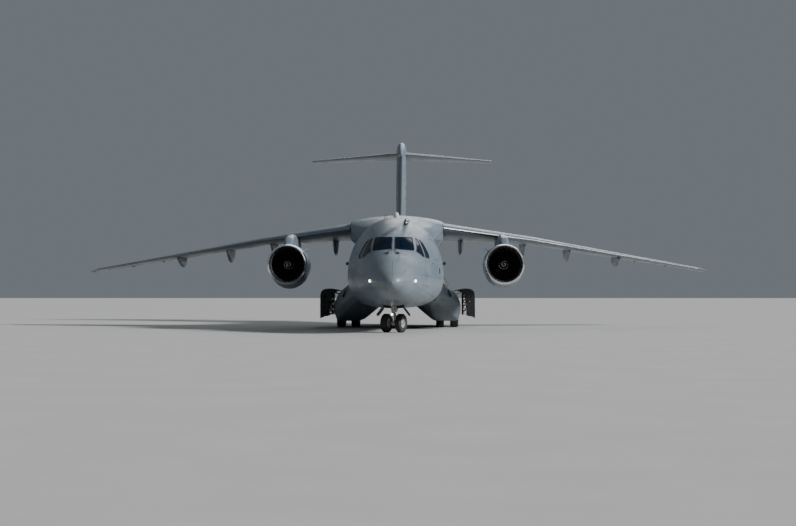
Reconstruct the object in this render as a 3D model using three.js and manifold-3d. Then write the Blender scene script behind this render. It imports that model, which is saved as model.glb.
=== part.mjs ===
// Twin-jet military transport plane with a high wing and a T tail, standing on its landing gear.
// Millimetres, +Z up, nose towards -Y, port side towards +X, origin on the ground under the middle of its length.
import * as THREE from "three";
import { mergeVertices } from "three/addons/utils/BufferGeometryUtils.js";
import Module from "manifold-3d";

const wasm = await Module();
wasm.setup();

// Driving dimensions. A station is a distance aft of the nose tip.
const LENGTH = 35200;
const SPAN = 35050;
const HEIGHT = 11600;
const NOSE_Y = -LENGTH / 2;
const WALL = 110; // skin, frames and lining of the fuselage together
const SEAT = 0.4; // gap left between pieces that rest on each other
const SHUT = 12; // gap round a closed door or a control surface
const BREAK_FRONT = 1250; // where the radome ends
const BREAK_CABIN = 8000; // where the cockpit section ends
const BREAK_TAIL = 21000; // where the cargo section ends
const TAIL_END = 34000;
const FLOOR_Z = 1450;
const DECK_Z = 2580;
const RING_POINTS = 28;

// The fuselage: station, half width, height of the widest point, top, bottom, lower roundness
const HULL = [
  [0, 45, 2250, 2295, 2205, 2.0],
  [70, 220, 2255, 2450, 2075, 2.0],
  [260, 440, 2270, 2640, 1900, 2.0],
  [800, 790, 2310, 2995, 1640, 2.05],
  [1600, 1130, 2370, 3400, 1420, 2.1],
  [2500, 1410, 2440, 3770, 1270, 2.2],
  [3450, 1610, 2520, 4340, 1170, 2.3],
  [4200, 1735, 2570, 4680, 1130, 2.4],
  [5000, 1870, 2620, 4970, 1105, 2.5],
  [6000, 2050, 2670, 5235, 1100, 2.6],
  [7000, 2200, 2710, 5410, 1100, 2.7],
  [8000, 2300, 2740, 5490, 1100, 2.8],
  [9200, 2360, 2750, 5520, 1100, 2.8],
  [21000, 2360, 2750, 5520, 1100, 2.8],
  [22500, 2355, 2800, 5520, 1240, 2.8],
  [24000, 2300, 2960, 5520, 1640, 2.7],
  [26000, 2120, 3300, 5510, 2330, 2.6],
  [28000, 1830, 3680, 5480, 3010, 2.5],
  [30000, 1420, 4060, 5420, 3620, 2.4],
  [32000, 930, 4420, 5310, 4080, 2.2],
  [33500, 540, 4640, 5170, 4320, 2.0],
  [TAIL_END, 330, 4720, 5050, 4440, 2.0],
];

// The wing: x, leading edge station, chord, leading edge z, trailing edge z, thickness share
const WING = [
  [2400, 12650, 6050, 5180, 4756, 0.119],
  [7300, 14904, 4350, 4620, 4520, 0.095],
  [16900, 19500, 1750, 3180, 3110, 0.085],
  [SPAN / 2, 20350, 900, 3030, 3000, 0.08],
];
// The tailplane, in the same columns
const TAILPLANE = [
  [0, 31000, 3600, 10740, 10600, 0.1],
  [5880, LENGTH - 1500, 1500, 10480, 10465, 0.09],
];
// The fin: z, leading edge station, chord, centre x, centre x, thickness share
const FIN = [
  [5200, 25300, 7300, 0, 0, 0.068],
  [10500, 30200, 3960, 0, 0, 0.15],
];

const station = (s) => NOSE_Y + s;
const mix = (a, b, t) => a + (b - a) * t;
const ease = (t) => t * t * (3 - 2 * t);
const clamp = (t) => Math.min(1, Math.max(0, t));

// One column of a table at a station, through its rows on a smooth curve without overshoot
function smooth(rows, column, s) {
  const last = rows.length - 1;
  let i = 0;
  while (i < last - 1 && s > rows[i + 1][0]) i++;
  const slope = (k) => (rows[k + 1][column] - rows[k][column]) / (rows[k + 1][0] - rows[k][0]);
  const tangent = (k) => {
    if (k === 0) return slope(0);
    if (k === last) return slope(last - 1);
    const before = slope(k - 1);
    const after = slope(k);
    return before * after <= 0 ? 0 : (2 * before * after) / (before + after);
  };
  const span = rows[i + 1][0] - rows[i][0];
  const t = clamp((s - rows[i][0]) / span);
  const [a, b] = [rows[i][column], rows[i + 1][column]];
  const [ma, mb] = [tangent(i) * span, tangent(i + 1) * span];
  return a * (1 + 2 * t) * (1 - t) ** 2 + ma * t * (1 - t) ** 2 + b * t * t * (3 - 2 * t) + mb * t * t * (t - 1);
}

// One column of a table at a position, on straight lines between its rows
function straight(rows, column, x) {
  let i = 0;
  while (i < rows.length - 2 && x > rows[i + 1][0]) i++;
  return mix(rows[i][column], rows[i + 1][column], (x - rows[i][0]) / (rows[i + 1][0] - rows[i][0]));
}

// A closed solid from a geometry, facing out whichever way its faces were wound
function solidOf(geometry) {
  const bare = geometry.clone();
  bare.deleteAttribute("normal");
  bare.deleteAttribute("uv");
  const merged = mergeVertices(bare, 1e-3);
  const points = merged.attributes.position.array;
  const corners = merged.index.array;
  const kept = [];
  let volume = 0;
  const p = (k) => new THREE.Vector3(points[3 * k], points[3 * k + 1], points[3 * k + 2]);
  for (let i = 0; i < corners.length; i += 3) {
    const [a, b, c] = [corners[i], corners[i + 1], corners[i + 2]];
    if (a === b || b === c || a === c) continue;
    kept.push([a, b, c]);
    volume += p(a).dot(p(b).cross(p(c)));
  }
  const faces = kept.flatMap(([a, b, c]) => (volume < 0 ? [a, c, b] : [a, b, c]));
  return new wasm.Manifold(
    new wasm.Mesh({ numProp: 3, vertProperties: points, triVerts: new Uint32Array(faces) }),
  );
}

// A three.js geometry from a finished solid
function geometryOf(solid) {
  const made = solid.getMesh();
  const geometry = new THREE.BufferGeometry();
  geometry.setAttribute("position", new THREE.BufferAttribute(new Float32Array(made.vertProperties), 3));
  geometry.setIndex(new THREE.BufferAttribute(new Uint32Array(made.triVerts), 1));
  geometry.computeVertexNormals();
  return geometry;
}

// A solid skinned over rings of equally many points, each ring flat, with both ends capped
function loft(rings) {
  const n = rings[0].length;
  const positions = rings.flat(2);
  const faces = [];
  for (let r = 0; r + 1 < rings.length; r++)
    for (let k = 0; k < n; k++) {
      const [a, b] = [r * n + k, r * n + ((k + 1) % n)];
      faces.push(a, b, b + n, a, b + n, a + n);
    }
  const cap = (ring, base, outward) => {
    const reach = [0, 1, 2].map((i) => Math.max(...ring.map((q) => q[i])) - Math.min(...ring.map((q) => q[i])));
    const thin = reach.indexOf(Math.min(...reach));
    const flat = ring.map((q) => new THREE.Vector2(q[(thin + 1) % 3], q[(thin + 2) % 3]));
    const turn = Math.sign(THREE.ShapeUtils.area(flat));
    for (const [a, b, c] of THREE.ShapeUtils.triangulateShape(flat, [])) {
      const same = Math.sign(THREE.ShapeUtils.area([flat[a], flat[b], flat[c]])) === turn;
      faces.push(base + a, ...(same === outward ? [base + b, base + c] : [base + c, base + b]));
    }
  };
  cap(rings[0], 0, false);
  cap(rings[rings.length - 1], (rings.length - 1) * n, true);
  const geometry = new THREE.BufferGeometry();
  geometry.setAttribute("position", new THREE.BufferAttribute(new Float32Array(positions), 3));
  geometry.setIndex(faces);
  return solidOf(geometry);
}

// An outline in two axes, pushed along the third: "x" takes (y, z), "y" takes (x, z) and "z" takes (x, y)
function prism(outline, axis, from, to) {
  const place = { x: (a, b, c) => [c, a, b], y: (a, b, c) => [a, c, b], z: (a, b, c) => [a, b, c] }[axis];
  return loft([from, to].map((depth) => outline.map(([a, b]) => place(a, b, depth))));
}

const block = (x0, x1, y0, y1, z0, z1) =>
  solidOf(new THREE.BoxGeometry(x1 - x0, y1 - y0, z1 - z0).translate((x0 + x1) / 2, (y0 + y1) / 2, (z0 + z1) / 2));

// A profile of (radius, distance along) turned about an axis along X or Y
function turned(profile, segments, along = "y") {
  const lathe = new THREE.LatheGeometry(profile.map(([r, h]) => new THREE.Vector2(r, h)), segments);
  return solidOf(along === "x" ? lathe.rotateZ(-Math.PI / 2) : lathe);
}

// A round bar between two points
function bar(from, to, radius, segments = 12) {
  const [a, b] = [new THREE.Vector3(...from), new THREE.Vector3(...to)];
  const length = a.distanceTo(b);
  const geometry = new THREE.CylinderGeometry(radius, radius, length, segments);
  const turn = new THREE.Quaternion().setFromUnitVectors(new THREE.Vector3(0, 1, 0), b.clone().sub(a).normalize());
  return solidOf(geometry.applyQuaternion(turn).translate(...a.add(b).multiplyScalar(0.5).toArray()));
}

const join = (...solids) => solids.reduce((a, b) => a.add(b));
const outline = (points, s = 1) => {
  const cx = points.reduce((t, q) => t + q[0], 0) / points.length;
  const cz = points.reduce((t, q) => t + q[1], 0) / points.length;
  return points.map(([x, z]) => [cx + (x - cx) * s, cz + (z - cz) * s]);
};

// One fuselage section as a ring, drawn in from the skin by inset
function hullRing(s, inset) {
  const [w, zw, top, low, lower] = [1, 2, 3, 4, 5].map((column) => smooth(HULL, column, s));
  return Array.from({ length: RING_POINTS }, (_, k) => {
    const a = (2 * Math.PI * k) / RING_POINTS;
    const power = Math.sin(a) < 0 ? 2 / lower : 1;
    const reach = Math.sin(a) < 0 ? zw - low - inset : top - zw - inset;
    const x = (w - inset) * Math.sign(Math.cos(a)) * Math.abs(Math.cos(a)) ** power;
    return [x, station(s), zw + reach * Math.sign(Math.sin(a)) * Math.abs(Math.sin(a)) ** power];
  });
}

// The fuselage's round body between two stations. Its rings always stand at the same stations, so pieces match.
const EXTRA_RINGS = [150, 500, BREAK_FRONT, 2000, 3000, 3850, 21700];
const RINGS = [...HULL.map((row) => row[0]), ...EXTRA_RINGS].sort((a, b) => a - b);
function hull(from, to, inset = 0) {
  const first = RINGS.findLastIndex((s) => s <= from);
  const last = RINGS.findIndex((s) => s >= to);
  return loft(RINGS.slice(first, last + 1).map((s) => hullRing(s, inset)))
    .trimByPlane([0, 1, 0], station(from))
    .trimByPlane([0, -1, 0], -station(to));
}

// Half width of the fuselage at a station and height
function sideAt(s, z) {
  const [w, zw, top, low, lower] = [1, 2, 3, 4, 5].map((column) => smooth(HULL, column, s));
  const power = z < zw ? lower : 2;
  const share = z < zw ? (zw - z) / (zw - low) : (z - zw) / (top - zw);
  return w * (1 - share ** power) ** (1 / power);
}

// Half thickness of a wing section at a share of its chord, as a share of the thickness times the chord
const foil = (u) => 5 * (0.2969 * Math.sqrt(u) - 0.126 * u - 0.3516 * u ** 2 + 0.2843 * u ** 3 - 0.1015 * u ** 4);
const FOIL_STOPS = [0, 0.015, 0.06, 0.15, 0.3, 0.48, 0.66, 0.82, 1];
const CAMBER = 0.012;

// A wing section as a ring: upper side from the trailing edge forward, then the lower side aft
function foilRing(rows, x, grow = 0, camber = CAMBER) {
  const [le, chord, zl, zt, share] = [1, 2, 3, 4, 5].map((column) => straight(rows, column, x));
  const at = (u, side) => {
    const middle = mix(zl, zt, u) + camber * chord * 4 * u * (1 - u);
    return [le - grow + (chord + 2 * grow) * u, middle + side * (foil(u) * share * chord + grow)];
  };
  const back = [...FOIL_STOPS].reverse();
  return [...back.map((u) => at(u, 1)), ...FOIL_STOPS.slice(1).map((u) => at(u, -1))];
}
const wingRing = (rows, x, grow, camber) => foilRing(rows, x, grow, camber).map(([s, z]) => [x, station(s), z]);
const finRing = (z, grow) => foilRing(FIN, z, grow, 0).map(([s, x]) => [x, station(s), z]);

const materials = {};
function material(name, color, roughness, metalness) {
  materials[name] = new THREE.MeshStandardMaterial({ color, roughness, metalness });
}
material("grey_paint", 0x7f878d, 0.45, 0.3);
material("dark_grey_paint", 0x5b6267, 0.5, 0.3);
material("radome_paint", 0x868d92, 0.4, 0.1);
material("bare_metal", 0xb9bcbf, 0.25, 0.9);
material("dark_metal", 0x2b2c2e, 0.4, 0.8);
material("rubber", 0x161617, 0.85, 0.0);
material("glass", 0x101820, 0.05, 0.0);
material("cabin", 0x3c4245, 0.7, 0.1);
material("white_paint", 0xd8dad8, 0.5, 0.1);

const plane = new THREE.Group();
function piece(name, solid, finish, parent = plane) {
  const mesh = new THREE.Mesh(geometryOf(solid), materials[finish]);
  mesh.name = name;
  parent.add(mesh);
  return mesh;
}
const SIDES = [
  ["left", 1],
  ["right", -1],
];
// The same solid on the port side, or mirrored to starboard
const onSide = (solid, side) => (side > 0 ? solid : solid.mirror([1, 0, 0]));

// Hinges. Each is a fixed pin on a straight line, which knuckles of the moving piece turn round.
const HINGE_SIDES = 12;
const HINGE_PLAY = 0.95; // added to a pin's radius for its bore
// A bar on the line from one point to another, between two distances along it
function onLine(from, to, a, b, radius) {
  const [start, end] = [new THREE.Vector3(...from), new THREE.Vector3(...to)];
  const along = end.sub(start).normalize();
  const at = (d) => start.clone().addScaledVector(along, d).toArray();
  return bar(at(a), at(b), radius, HINGE_SIDES);
}
const distance = (from, to) => new THREE.Vector3(...from).distanceTo(new THREE.Vector3(...to));
const offset = (point, dx, dy, dz) => [point[0] + dx, point[1] + dy, point[2] + dz];
// Stub pins at both ends of a control surface: they start inside the fixed piece and reach into the moving one
const STUB = { radius: 20, deep: 60 };
function stubs(from, to, out, grow = 0) {
  const length = distance(from, to);
  const radius = STUB.radius + grow;
  const deep = STUB.deep + (grow > 0 ? 4 : 0);
  return onLine(from, to, -out[0], deep, radius).add(onLine(from, to, length - deep, length + out[1], radius));
}

// Windows: outlines of the two windscreens seen from the front in (x, z), and of the side windows in (station, z)
const WINDSCREEN = [[60, 3800], [920, 3735], [950, 3790], [865, 4330], [820, 4375], [60, 4375]];
const SIDE_WINDOWS = [
  ["front", [[3075, 3690], [3340, 3470], [3540, 3440], [4360, 4310], [4240, 4330]]],
  ["rear", [[3680, 3425], [4440, 3420], [4600, 3560], [4650, 4250], [4480, 4290]]],
];
const SCREEN_REACH = [2300, 4700]; // stations between which the windscreens are cut
const SIDE_REACH = [600, 2100]; // distances out from the centre between which the side windows are cut
const screenCut = (side, s) =>
  onSide(prism(outline(WINDSCREEN, s), "y", station(SCREEN_REACH[0]), station(SCREEN_REACH[1])), side);
const sideCut = (points, side, s) =>
  onSide(prism(outline(points, s).map(([a, z]) => [station(a), z]), "x", ...SIDE_REACH), side);
const PANE_FIT = 0.9985;
const PANE = { from: 1700, to: 6500, outer: 14, inner: 44 }; // set in from the skin by outer, down to inner
const paneShell = () =>
  hull(PANE.from, PANE.to, PANE.outer).subtract(hull(PANE.from - 100, PANE.to + 100, PANE.inner));

// Crew door with built-in steps on the port side. It hangs on a pin that runs outside its sill, along the skin.
const CREW_DOOR = { from: 6150, to: 7000, low: 1460, high: 3330, pin: 10, knuckle: 20 };
const crewHinge = [CREW_DOOR.from, CREW_DOOR.to].map((s) => [
  sideAt(s, CREW_DOOR.low) + 24,
  station(s),
  CREW_DOOR.low - 20,
]);
// Its opening has square ends to the hinge line, seen from above
function crewOpening(grow) {
  const [a, b] = crewHinge;
  const along = new THREE.Vector2(b[0] - a[0], b[1] - a[1]).normalize().multiplyScalar(grow);
  const out = new THREE.Vector2(along.y, -along.x).normalize();
  const corner = ([x, y], reach, share) => [x + out.x * reach + along.x * share, y + out.y * reach + along.y * share];
  const plan = [corner(a, -700, -1), corner(a, 1200, -1), corner(b, 1200, 1), corner(b, -700, 1)];
  return prism(plan, "z", CREW_DOOR.low + SHUT - grow, CREW_DOOR.high - SHUT + grow);
}

// Nose landing gear bay in the belly
const BAY = { half: 500, from: 2750, to: 4950 };

const CABIN_FROM = 1700; // the front pressure bulkhead closes the hollow cabin here
function fuselageFront() {
  let shell = hull(BREAK_FRONT + SEAT, BREAK_CABIN).subtract(hull(CABIN_FROM, BREAK_CABIN + 200, WALL));
  for (const [, side] of SIDES) {
    shell = shell.subtract(screenCut(side, 1));
    for (const [, points] of SIDE_WINDOWS) shell = shell.subtract(sideCut(points, side, 1));
  }
  shell = shell
    .subtract(crewOpening(SHUT))
    .subtract(block(-BAY.half, BAY.half, station(BAY.from), station(BAY.to), 0, 1600));
  const [a, b] = crewHinge;
  const length = distance(a, b);
  const brackets = [a, b].map((end, k) => {
    const y = k === 0 ? -50 : 50;
    return bar(offset(end, 0, y, 0), offset(end, -80, y, 60), CREW_DOOR.knuckle - 4);
  });
  return join(shell, onLine(a, b, -66, length + 66, CREW_DOOR.pin), ...brackets);
}

function crewDoor() {
  const { low, high, pin, knuckle } = CREW_DOOR;
  const [a, b] = crewHinge;
  const length = distance(a, b);
  let door = hull(5900, 7200).subtract(hull(5800, 7300, WALL)).intersect(crewOpening(-1));
  const steps = 5;
  for (let i = 0; i < steps; i++) {
    const z = mix(low + 260, high - 330, i / (steps - 1));
    const [x0, x1] = [a, b].map(([x]) => x - a[0] + sideAt(CREW_DOOR.from, z) - WALL);
    const tread = [[x0 - 190, a[1] + 90], [x0 + 30, a[1] + 90], [x1 + 20, b[1] - 90], [x1 - 200, b[1] - 90]];
    door = door.add(prism(tread, "z", z, z + 40));
  }
  for (const share of [0.25, 0.75]) {
    const middle = a.map((v, k) => mix(v, b[k], share));
    door = door
      .add(onLine(a, b, length * share - 35, length * share + 35, knuckle))
      .add(bar(offset(middle, -8, 0, 10), offset(middle, -40, 0, 75), 12));
  }
  return door.subtract(onLine(a, b, -100, length + 100, pin + HINGE_PLAY));
}

// The wing's centre section: a box through the top of the fuselage, under a fairing over its crown
// Fairing: station, half width, height of its shoulder, height of its top
const FAIRING = [
  [10200, 1300, 5000, 5380],
  [11500, 1900, 5130, 5640],
  [12500, 2370, 5380, 5810],
  [13300, 2400, 5500, 5870],
  [18700, 2400, 5240, 5850],
  [20400, 2150, 5000, 5720],
  [22600, 1300, 4950, 5420],
];
const WING_BOX = { from: 13500, to: 17900, low: 4560, high: 5560, half: 2400 };
const wingBox = (grow) =>
  block(
    -WING_BOX.half - grow,
    WING_BOX.half + grow,
    station(WING_BOX.from - grow),
    station(WING_BOX.to + grow),
    WING_BOX.low - grow,
    WING_BOX.high + grow,
  );
function wingCentre() {
  const rings = FAIRING.map(([s, half, shoulder, top]) => {
    const right = [
      [half, 4660],
      [half, shoulder],
      [half * 0.8, mix(shoulder, top, 0.62)],
      [half * 0.48, top - 25],
      [half * 0.16, top],
    ];
    const left = right.map(([x, z]) => [-x, z]).reverse();
    return [...right, ...left].map(([x, z]) => [x, station(s), z]);
  });
  return loft(rings).subtract(hull(7000, 24500, -SEAT)).add(wingBox(0));
}

// Cargo ramp and the door behind it, cut from the upswept belly
const RAMP = { from: 21300, to: 25500, half: 1560, hingeZ: 1085 };
const DOOR = { from: 25530, to: 29700, halfFront: 1500, halfRear: 980, hingeZ: 3810 };
// The faces where ramp and door meet lean forwards, so that either can swing past the other
const MEET = { low: 2150, top: 2560, lean: 0.42 };
const TAIL_PIN = { radius: 12, fixed: 21, moving: 24, half: 440 };
const rampHinge = [-1, 1].map((side) => [side * TAIL_PIN.half, station(RAMP.from), RAMP.hingeZ]);
const doorHinge = [-1, 1].map((side) => [side * TAIL_PIN.half, station(DOOR.to), DOOR.hingeZ]);
// A pin with its two brackets, which lean from the pin towards a foot at (dy, dz)
function fixedHinge([a, b], dy, dz) {
  const length = distance(a, b);
  const feet = [a, b].map((end) => bar(end, offset(end, 0, dy, dz), TAIL_PIN.fixed - 4));
  const ends = [0, length].map((d) => onLine(a, b, d - 30, d + 30, TAIL_PIN.fixed));
  return join(onLine(a, b, 0, length, TAIL_PIN.radius), ...feet, ...ends);
}
// Two knuckles round that pin, with arms to the moving piece
function hung(body, [a, b], dy, dz) {
  const length = distance(a, b);
  let made = body.subtract(onLine(a, b, -60, length + 60, TAIL_PIN.moving + 6));
  for (const share of [0.3, 0.7]) {
    const middle = a.map((v, k) => mix(v, b[k], share));
    made = made
      .add(onLine(a, b, length * share - 40, length * share + 40, TAIL_PIN.moving))
      .add(bar(middle, offset(middle, 0, dy, dz), TAIL_PIN.moving - 8));
  }
  return made.subtract(onLine(a, b, -60, length + 60, TAIL_PIN.radius + HINGE_PLAY));
}
const rampSide = (grow) => [
  [station(RAMP.from - grow), 800],
  [station(RAMP.from - grow), FLOOR_Z + grow],
  [station(22000), FLOOR_Z + 60 + grow],
  [station(RAMP.to - MEET.lean * (MEET.top - MEET.low) + grow), MEET.top + grow],
  [station(RAMP.to + MEET.lean * (MEET.low - 800) + grow), 800],
];
const doorSide = (grow) => [
  [station(DOOR.from + MEET.lean * (MEET.low - 1700) - grow), 1700],
  [station(DOOR.from - MEET.lean * (2440 - MEET.low) - grow), 2440 + grow],
  [station(DOOR.to + grow), DOOR.hingeZ + grow],
  [station(DOOR.to + grow), 1700],
];
const doorPlan = (grow) =>
  prism(
    [
      [-DOOR.halfFront - grow, station(DOOR.from - 400)],
      [DOOR.halfFront + grow, station(DOOR.from - 400)],
      [DOOR.halfRear + grow, station(DOOR.to + 100)],
      [-DOOR.halfRear - grow, station(DOOR.to + 100)],
    ],
    "z",
    1500,
    4500,
  );
const rampWedge = (grow) => prism(rampSide(grow), "x", -RAMP.half - grow, RAMP.half + grow);
const doorWedge = (grow) => prism(doorSide(grow), "x", -2000, 2000).intersect(doorPlan(grow));

function fuselageTail() {
  return hull(BREAK_TAIL + SEAT, TAIL_END, 0)
    .subtract(hull(BREAK_TAIL - 200, 31300, WALL))
    .subtract(rampWedge(SHUT))
    .subtract(doorWedge(SHUT))
    .add(fixedHinge(rampHinge, -100, 95))
    .add(fixedHinge(doorHinge, 110, -147));
}
const cargoRamp = () => hung(hull(21100, 26000).intersect(rampWedge(0)), rampHinge, 110, 120);
const cargoDoor = () => hung(hull(25000, 30500).intersect(doorWedge(0)), doorHinge, -130, -90);

// A block across the middle: half width, from and to station, from and to height
const across = ([half, s0, s1, z0, z1]) => block(-half, half, station(s0), station(s1), z0, z1);
const WIDE = 2400; // half width of a block that the skin trims
const DECK = { from: 1800, to: 5850, thick: 100 };
const DOORWAY = { half: 350, high: 4500 };
const BAY_WALL = 80;
function flightDeck() {
  const under = DECK_Z - DECK.thick;
  const room = hull(DECK.from, DECK.to + 50, WALL + SEAT);
  const slab = across([WIDE, DECK.from - 50, DECK.to, under, DECK_Z]);
  const bulkhead = across([WIDE, DECK.to - 100, DECK.to, under, 5400]);
  const doorway = across([DOORWAY.half, DECK.to - 150, DECK.to + 50, DECK_Z, DOORWAY.high]);
  const bay = across([BAY.half + BAY_WALL, BAY.from - BAY_WALL, BAY.to + BAY_WALL, 0, DECK_Z - 50]);
  const well = across([BAY.half + 2, BAY.from, BAY.to, -10, under]);
  return join(slab, bulkhead.subtract(doorway), bay).subtract(well).intersect(room);
}
const DECK_TOP = DECK_Z + SEAT;
// Half width, from and to station, from and to height of the panel, the glare shield and the centre console
const INSTRUMENTS = [
  [1150, 2950, 3120, DECK_TOP, 3560],
  [1150, 2650, 3260, 3480, 3560],
  [230, 3050, 4300, DECK_TOP, 3080],
];
const instrumentPanel = () => join(...INSTRUMENTS.map(across)).intersect(hull(DECK.from, DECK.to, WALL + 30));
// The same columns for a pilot's seat: foot, seat pad, back and headrest
const PILOT_X = 560;
const PILOT_SEAT = [
  [120, 3950, 4250, DECK_TOP, 2900],
  [250, 3820, 4340, 2880, 3030],
  [250, 4300, 4430, 2880, 3760],
  [140, 4310, 4410, 3740, 3960],
];
const pilotSeat = (side) => join(...PILOT_SEAT.map(across)).translate([side * PILOT_X, 0, 0]);
const cargoFloor = () =>
  hull(5990, RAMP.from - SHUT, WALL + SEAT).subtract(across([WIDE, 0, LENGTH, FLOOR_Z, 6000]));

// In-flight refuelling probe over the cockpit, port of the centre
const PROBE = { x: 580, tip: 2400, tipZ: 4965, root: 6900, rootZ: 5290 };
function refuellingProbe() {
  const at = (s) => [PROBE.x, station(s), mix(PROBE.tipZ, PROBE.rootZ, (s - PROBE.tip) / (PROBE.root - PROBE.tip))];
  const body = join(
    bar(at(PROBE.tip + 160), at(PROBE.root), 75),
    bar(at(PROBE.tip), at(PROBE.tip + 200), 52),
    bar(at(PROBE.tip + 320), at(PROBE.tip + 420), 105),
    bar(at(4700), at(PROBE.root), 125),
  );
  return body.subtract(hull(4000, 8500, -SEAT));
}

// Sponsons: two outlines in (x, z), small at the ends and full round the wheels, mixed along the length
const SPONSON_SMALL = [
  [1300, 1400], [1450, 1330], [1700, 1380], [1800, 1390], [1980, 1440], [2010, 1480],
  [2140, 1700], [2190, 1850], [2230, 2050], [2260, 2250], [2150, 2400], [1800, 2200],
];
const SPONSON_FULL = [
  [900, 1250], [1050, 1080], [1870, 400], [2050, 355], [3080, 355], [3230, 430],
  [3350, 850], [3360, 1300], [3070, 1880], [2560, 2300], [2150, 2560], [1800, 2400],
];
// Behind the wheels its upper edge rises along the fuselage
const SPONSON_AFT = [...SPONSON_FULL.slice(0, 8), [2870, 2100], [2540, 2800], [2200, 3150], [1800, 2600]];
const SPONSON_RISES = [16500, 19500];
const SPONSON_STATIONS = [11300, 12200, 13100, 14000, 14900, 16500, 18000, 19200, 20400, 21700, 23000, 24200];
const SPONSON_GROWN = [11300, 14900, 19200, 24200]; // start, full from, full to, end
const WELL = { inner: 1960, from: 15150, to: 18150, roof: 1720 };
function sponson() {
  const [start, fullFrom, fullTo, end] = SPONSON_GROWN;
  const rings = SPONSON_STATIONS.map((s) => {
    const t = ease(clamp(Math.min((s - start) / (fullFrom - start), (end - s) / (end - fullTo))));
    const rise = ease(clamp((s - SPONSON_RISES[0]) / (SPONSON_RISES[1] - SPONSON_RISES[0])));
    const full = SPONSON_FULL.map(([x, z], k) => [mix(x, SPONSON_AFT[k][0], rise), mix(z, SPONSON_AFT[k][1], rise)]);
    return SPONSON_SMALL.map(([x, z], k) => [mix(x, full[k][0], t), station(s), mix(z, full[k][1], t)]);
  });
  // beside the ramp the sponson's inner face closes to clear it
  const side = RAMP.half + 30;
  const beside = prism(
    [[700, 19600], [side, 21250], [side, 24600], [700, 24600]].map(([x, s]) => [x, station(s)]),
    "z",
    0,
    3400,
  );
  return loft(rings)
    .subtract(hull(BREAK_CABIN, 25500, -SEAT))
    .subtract(beside)
    .subtract(block(WELL.inner, 3600, station(WELL.from), station(WELL.to), 0, WELL.roof));
}

// Main gear door, standing open: a bent panel in (x, z), with ribs across its inner face
const GEAR_DOOR = { from: 15250, to: 18050, thick: 60 };
const GEAR_DOOR_OUTER = [[2950, 1960], [3500, 2080], [3900, 2060], [4080, 1930], [4130, 1700], [4130, 500]];
function mainGearDoor(body) {
  const inner = GEAR_DOOR_OUTER.map(([x, z], k) => [
    x - (k > 2 ? GEAR_DOOR.thick : 20),
    z - (k < 5 ? GEAR_DOOR.thick : 0),
  ]).reverse();
  let door = prism([...GEAR_DOOR_OUTER, ...inner], "y", station(GEAR_DOOR.from), station(GEAR_DOOR.to));
  const ribs = 4;
  for (let i = 0; i < ribs; i++) {
    const y = station(mix(GEAR_DOOR.from, GEAR_DOOR.to - 50, i / (ribs - 1)));
    door = door.add(block(3880, 4090, y, y + 50, 560, 1900)).add(
      prism([[3100, 1950], [3700, 2050], [4000, 1900], [3980, 1700], [3650, 1880]], "y", y, y + 50),
    );
  }
  const clear = [0, SEAT].map((gap) => body.translate([gap, 0, 0])).reduce((a, b) => a.add(b));
  return door.subtract(clear);
}

// Wheels: a rounded tyre profile with a dished hub, two on one axle. Flats of the tyre stand on the ground.
const MAIN_WHEEL = { radius: 535, width: 410, spacing: 770, hub: 260, axle: 60 };
const NOSE_WHEEL = { radius: 432, width: 290, spacing: 740, hub: 200, axle: 45 };
const TYRE_SIDES = 20;
const FLAT = Math.cos(Math.PI / TYRE_SIDES); // a flat lies nearer than a corner by this share
function wheelPair({ radius, width, spacing, hub, axle }) {
  const [r, h] = [radius / FLAT, width / 2];
  const half = [[0, 0.6], [hub, 0.75], [r * 0.87, 1], [r, 0.45]].map(([q, share]) => [q, h * share]);
  const profile = [...half.map(([q, b]) => [q, -b]), ...half.reverse()];
  const wheel = turned(profile, TYRE_SIDES, "x").rotate([180 / TYRE_SIDES, 0, 0]);
  const shaft = bar([-spacing / 2, 0, 0], [spacing / 2, 0, 0], axle, TYRE_SIDES);
  return join(wheel.translate([-spacing / 2, 0, 0]), wheel.translate([spacing / 2, 0, 0]), shaft);
}
const BORE_PLAY = 0.85; // added to a wheel axle's radius for the bore it turns in
const bore = (half, axle) => bar([-half, 0, 0], [half, 0, 0], axle + BORE_PLAY, TYRE_SIDES);

// Main gear: two legs in tandem on each side, each with a pair of wheels
const TRACK_X = 2660;
const MAIN_AXLES = [
  ["front", 15900],
  ["rear", 17300],
];
function mainLeg() {
  const top = WELL.roof - SEAT - MAIN_WHEEL.radius;
  return join(
    block(-95, 95, -130, 130, -130, 130),
    bar([0, 0, 0], [0, 0, top - 40], 85, 16),
    block(-230, 230, -180, 180, top - 60, top),
    bar([0, 20, 60], [0, -260, top - 30], 55),
    block(-60, 60, -300, -200, top - 60, top),
    block(-90, 90, -300, 0, top - 60, top),
  ).subtract(bore(300, MAIN_WHEEL.axle));
}

// Nose gear: a leg held in the bay, and a lower strut that steers, turned as the photograph shows
const NOSE_AXLE = 4000;
const STEERED = THREE.MathUtils.degToRad(-25.5);
const STEER_JOINT_Z = 1120;
function noseLeg() {
  const y = station(NOSE_AXLE);
  const roof = DECK_Z - 100 - SEAT;
  return join(
    bar([0, y, STEER_JOINT_Z], [0, y, roof], 105, 16),
    bar([0, y, 1350], [0, y - 900, roof - 40], 55),
    block(-160, 160, y - 1000, y - 800, roof - 80, roof),
    block(-260, 260, y - 160, y + 160, roof - 70, roof),
    bar([-380, y, roof - 250], [380, y, roof - 250], 60),
  );
}
function noseStrut() {
  const top = STEER_JOINT_Z - NOSE_WHEEL.radius - SEAT;
  return join(
    bar([0, 0, 0], [0, 0, top], 78, 16),
    bar([0, 0, top - 140], [0, 0, top], 125, 16),
    block(-85, 85, -95, 95, -95, 110),
    bar([0, 20, 90], [0, 230, top / 2], 34),
    bar([0, 230, top / 2 - 20], [0, 60, top - 60], 34),
  ).subtract(bore(300, NOSE_WHEEL.axle));
}

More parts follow.
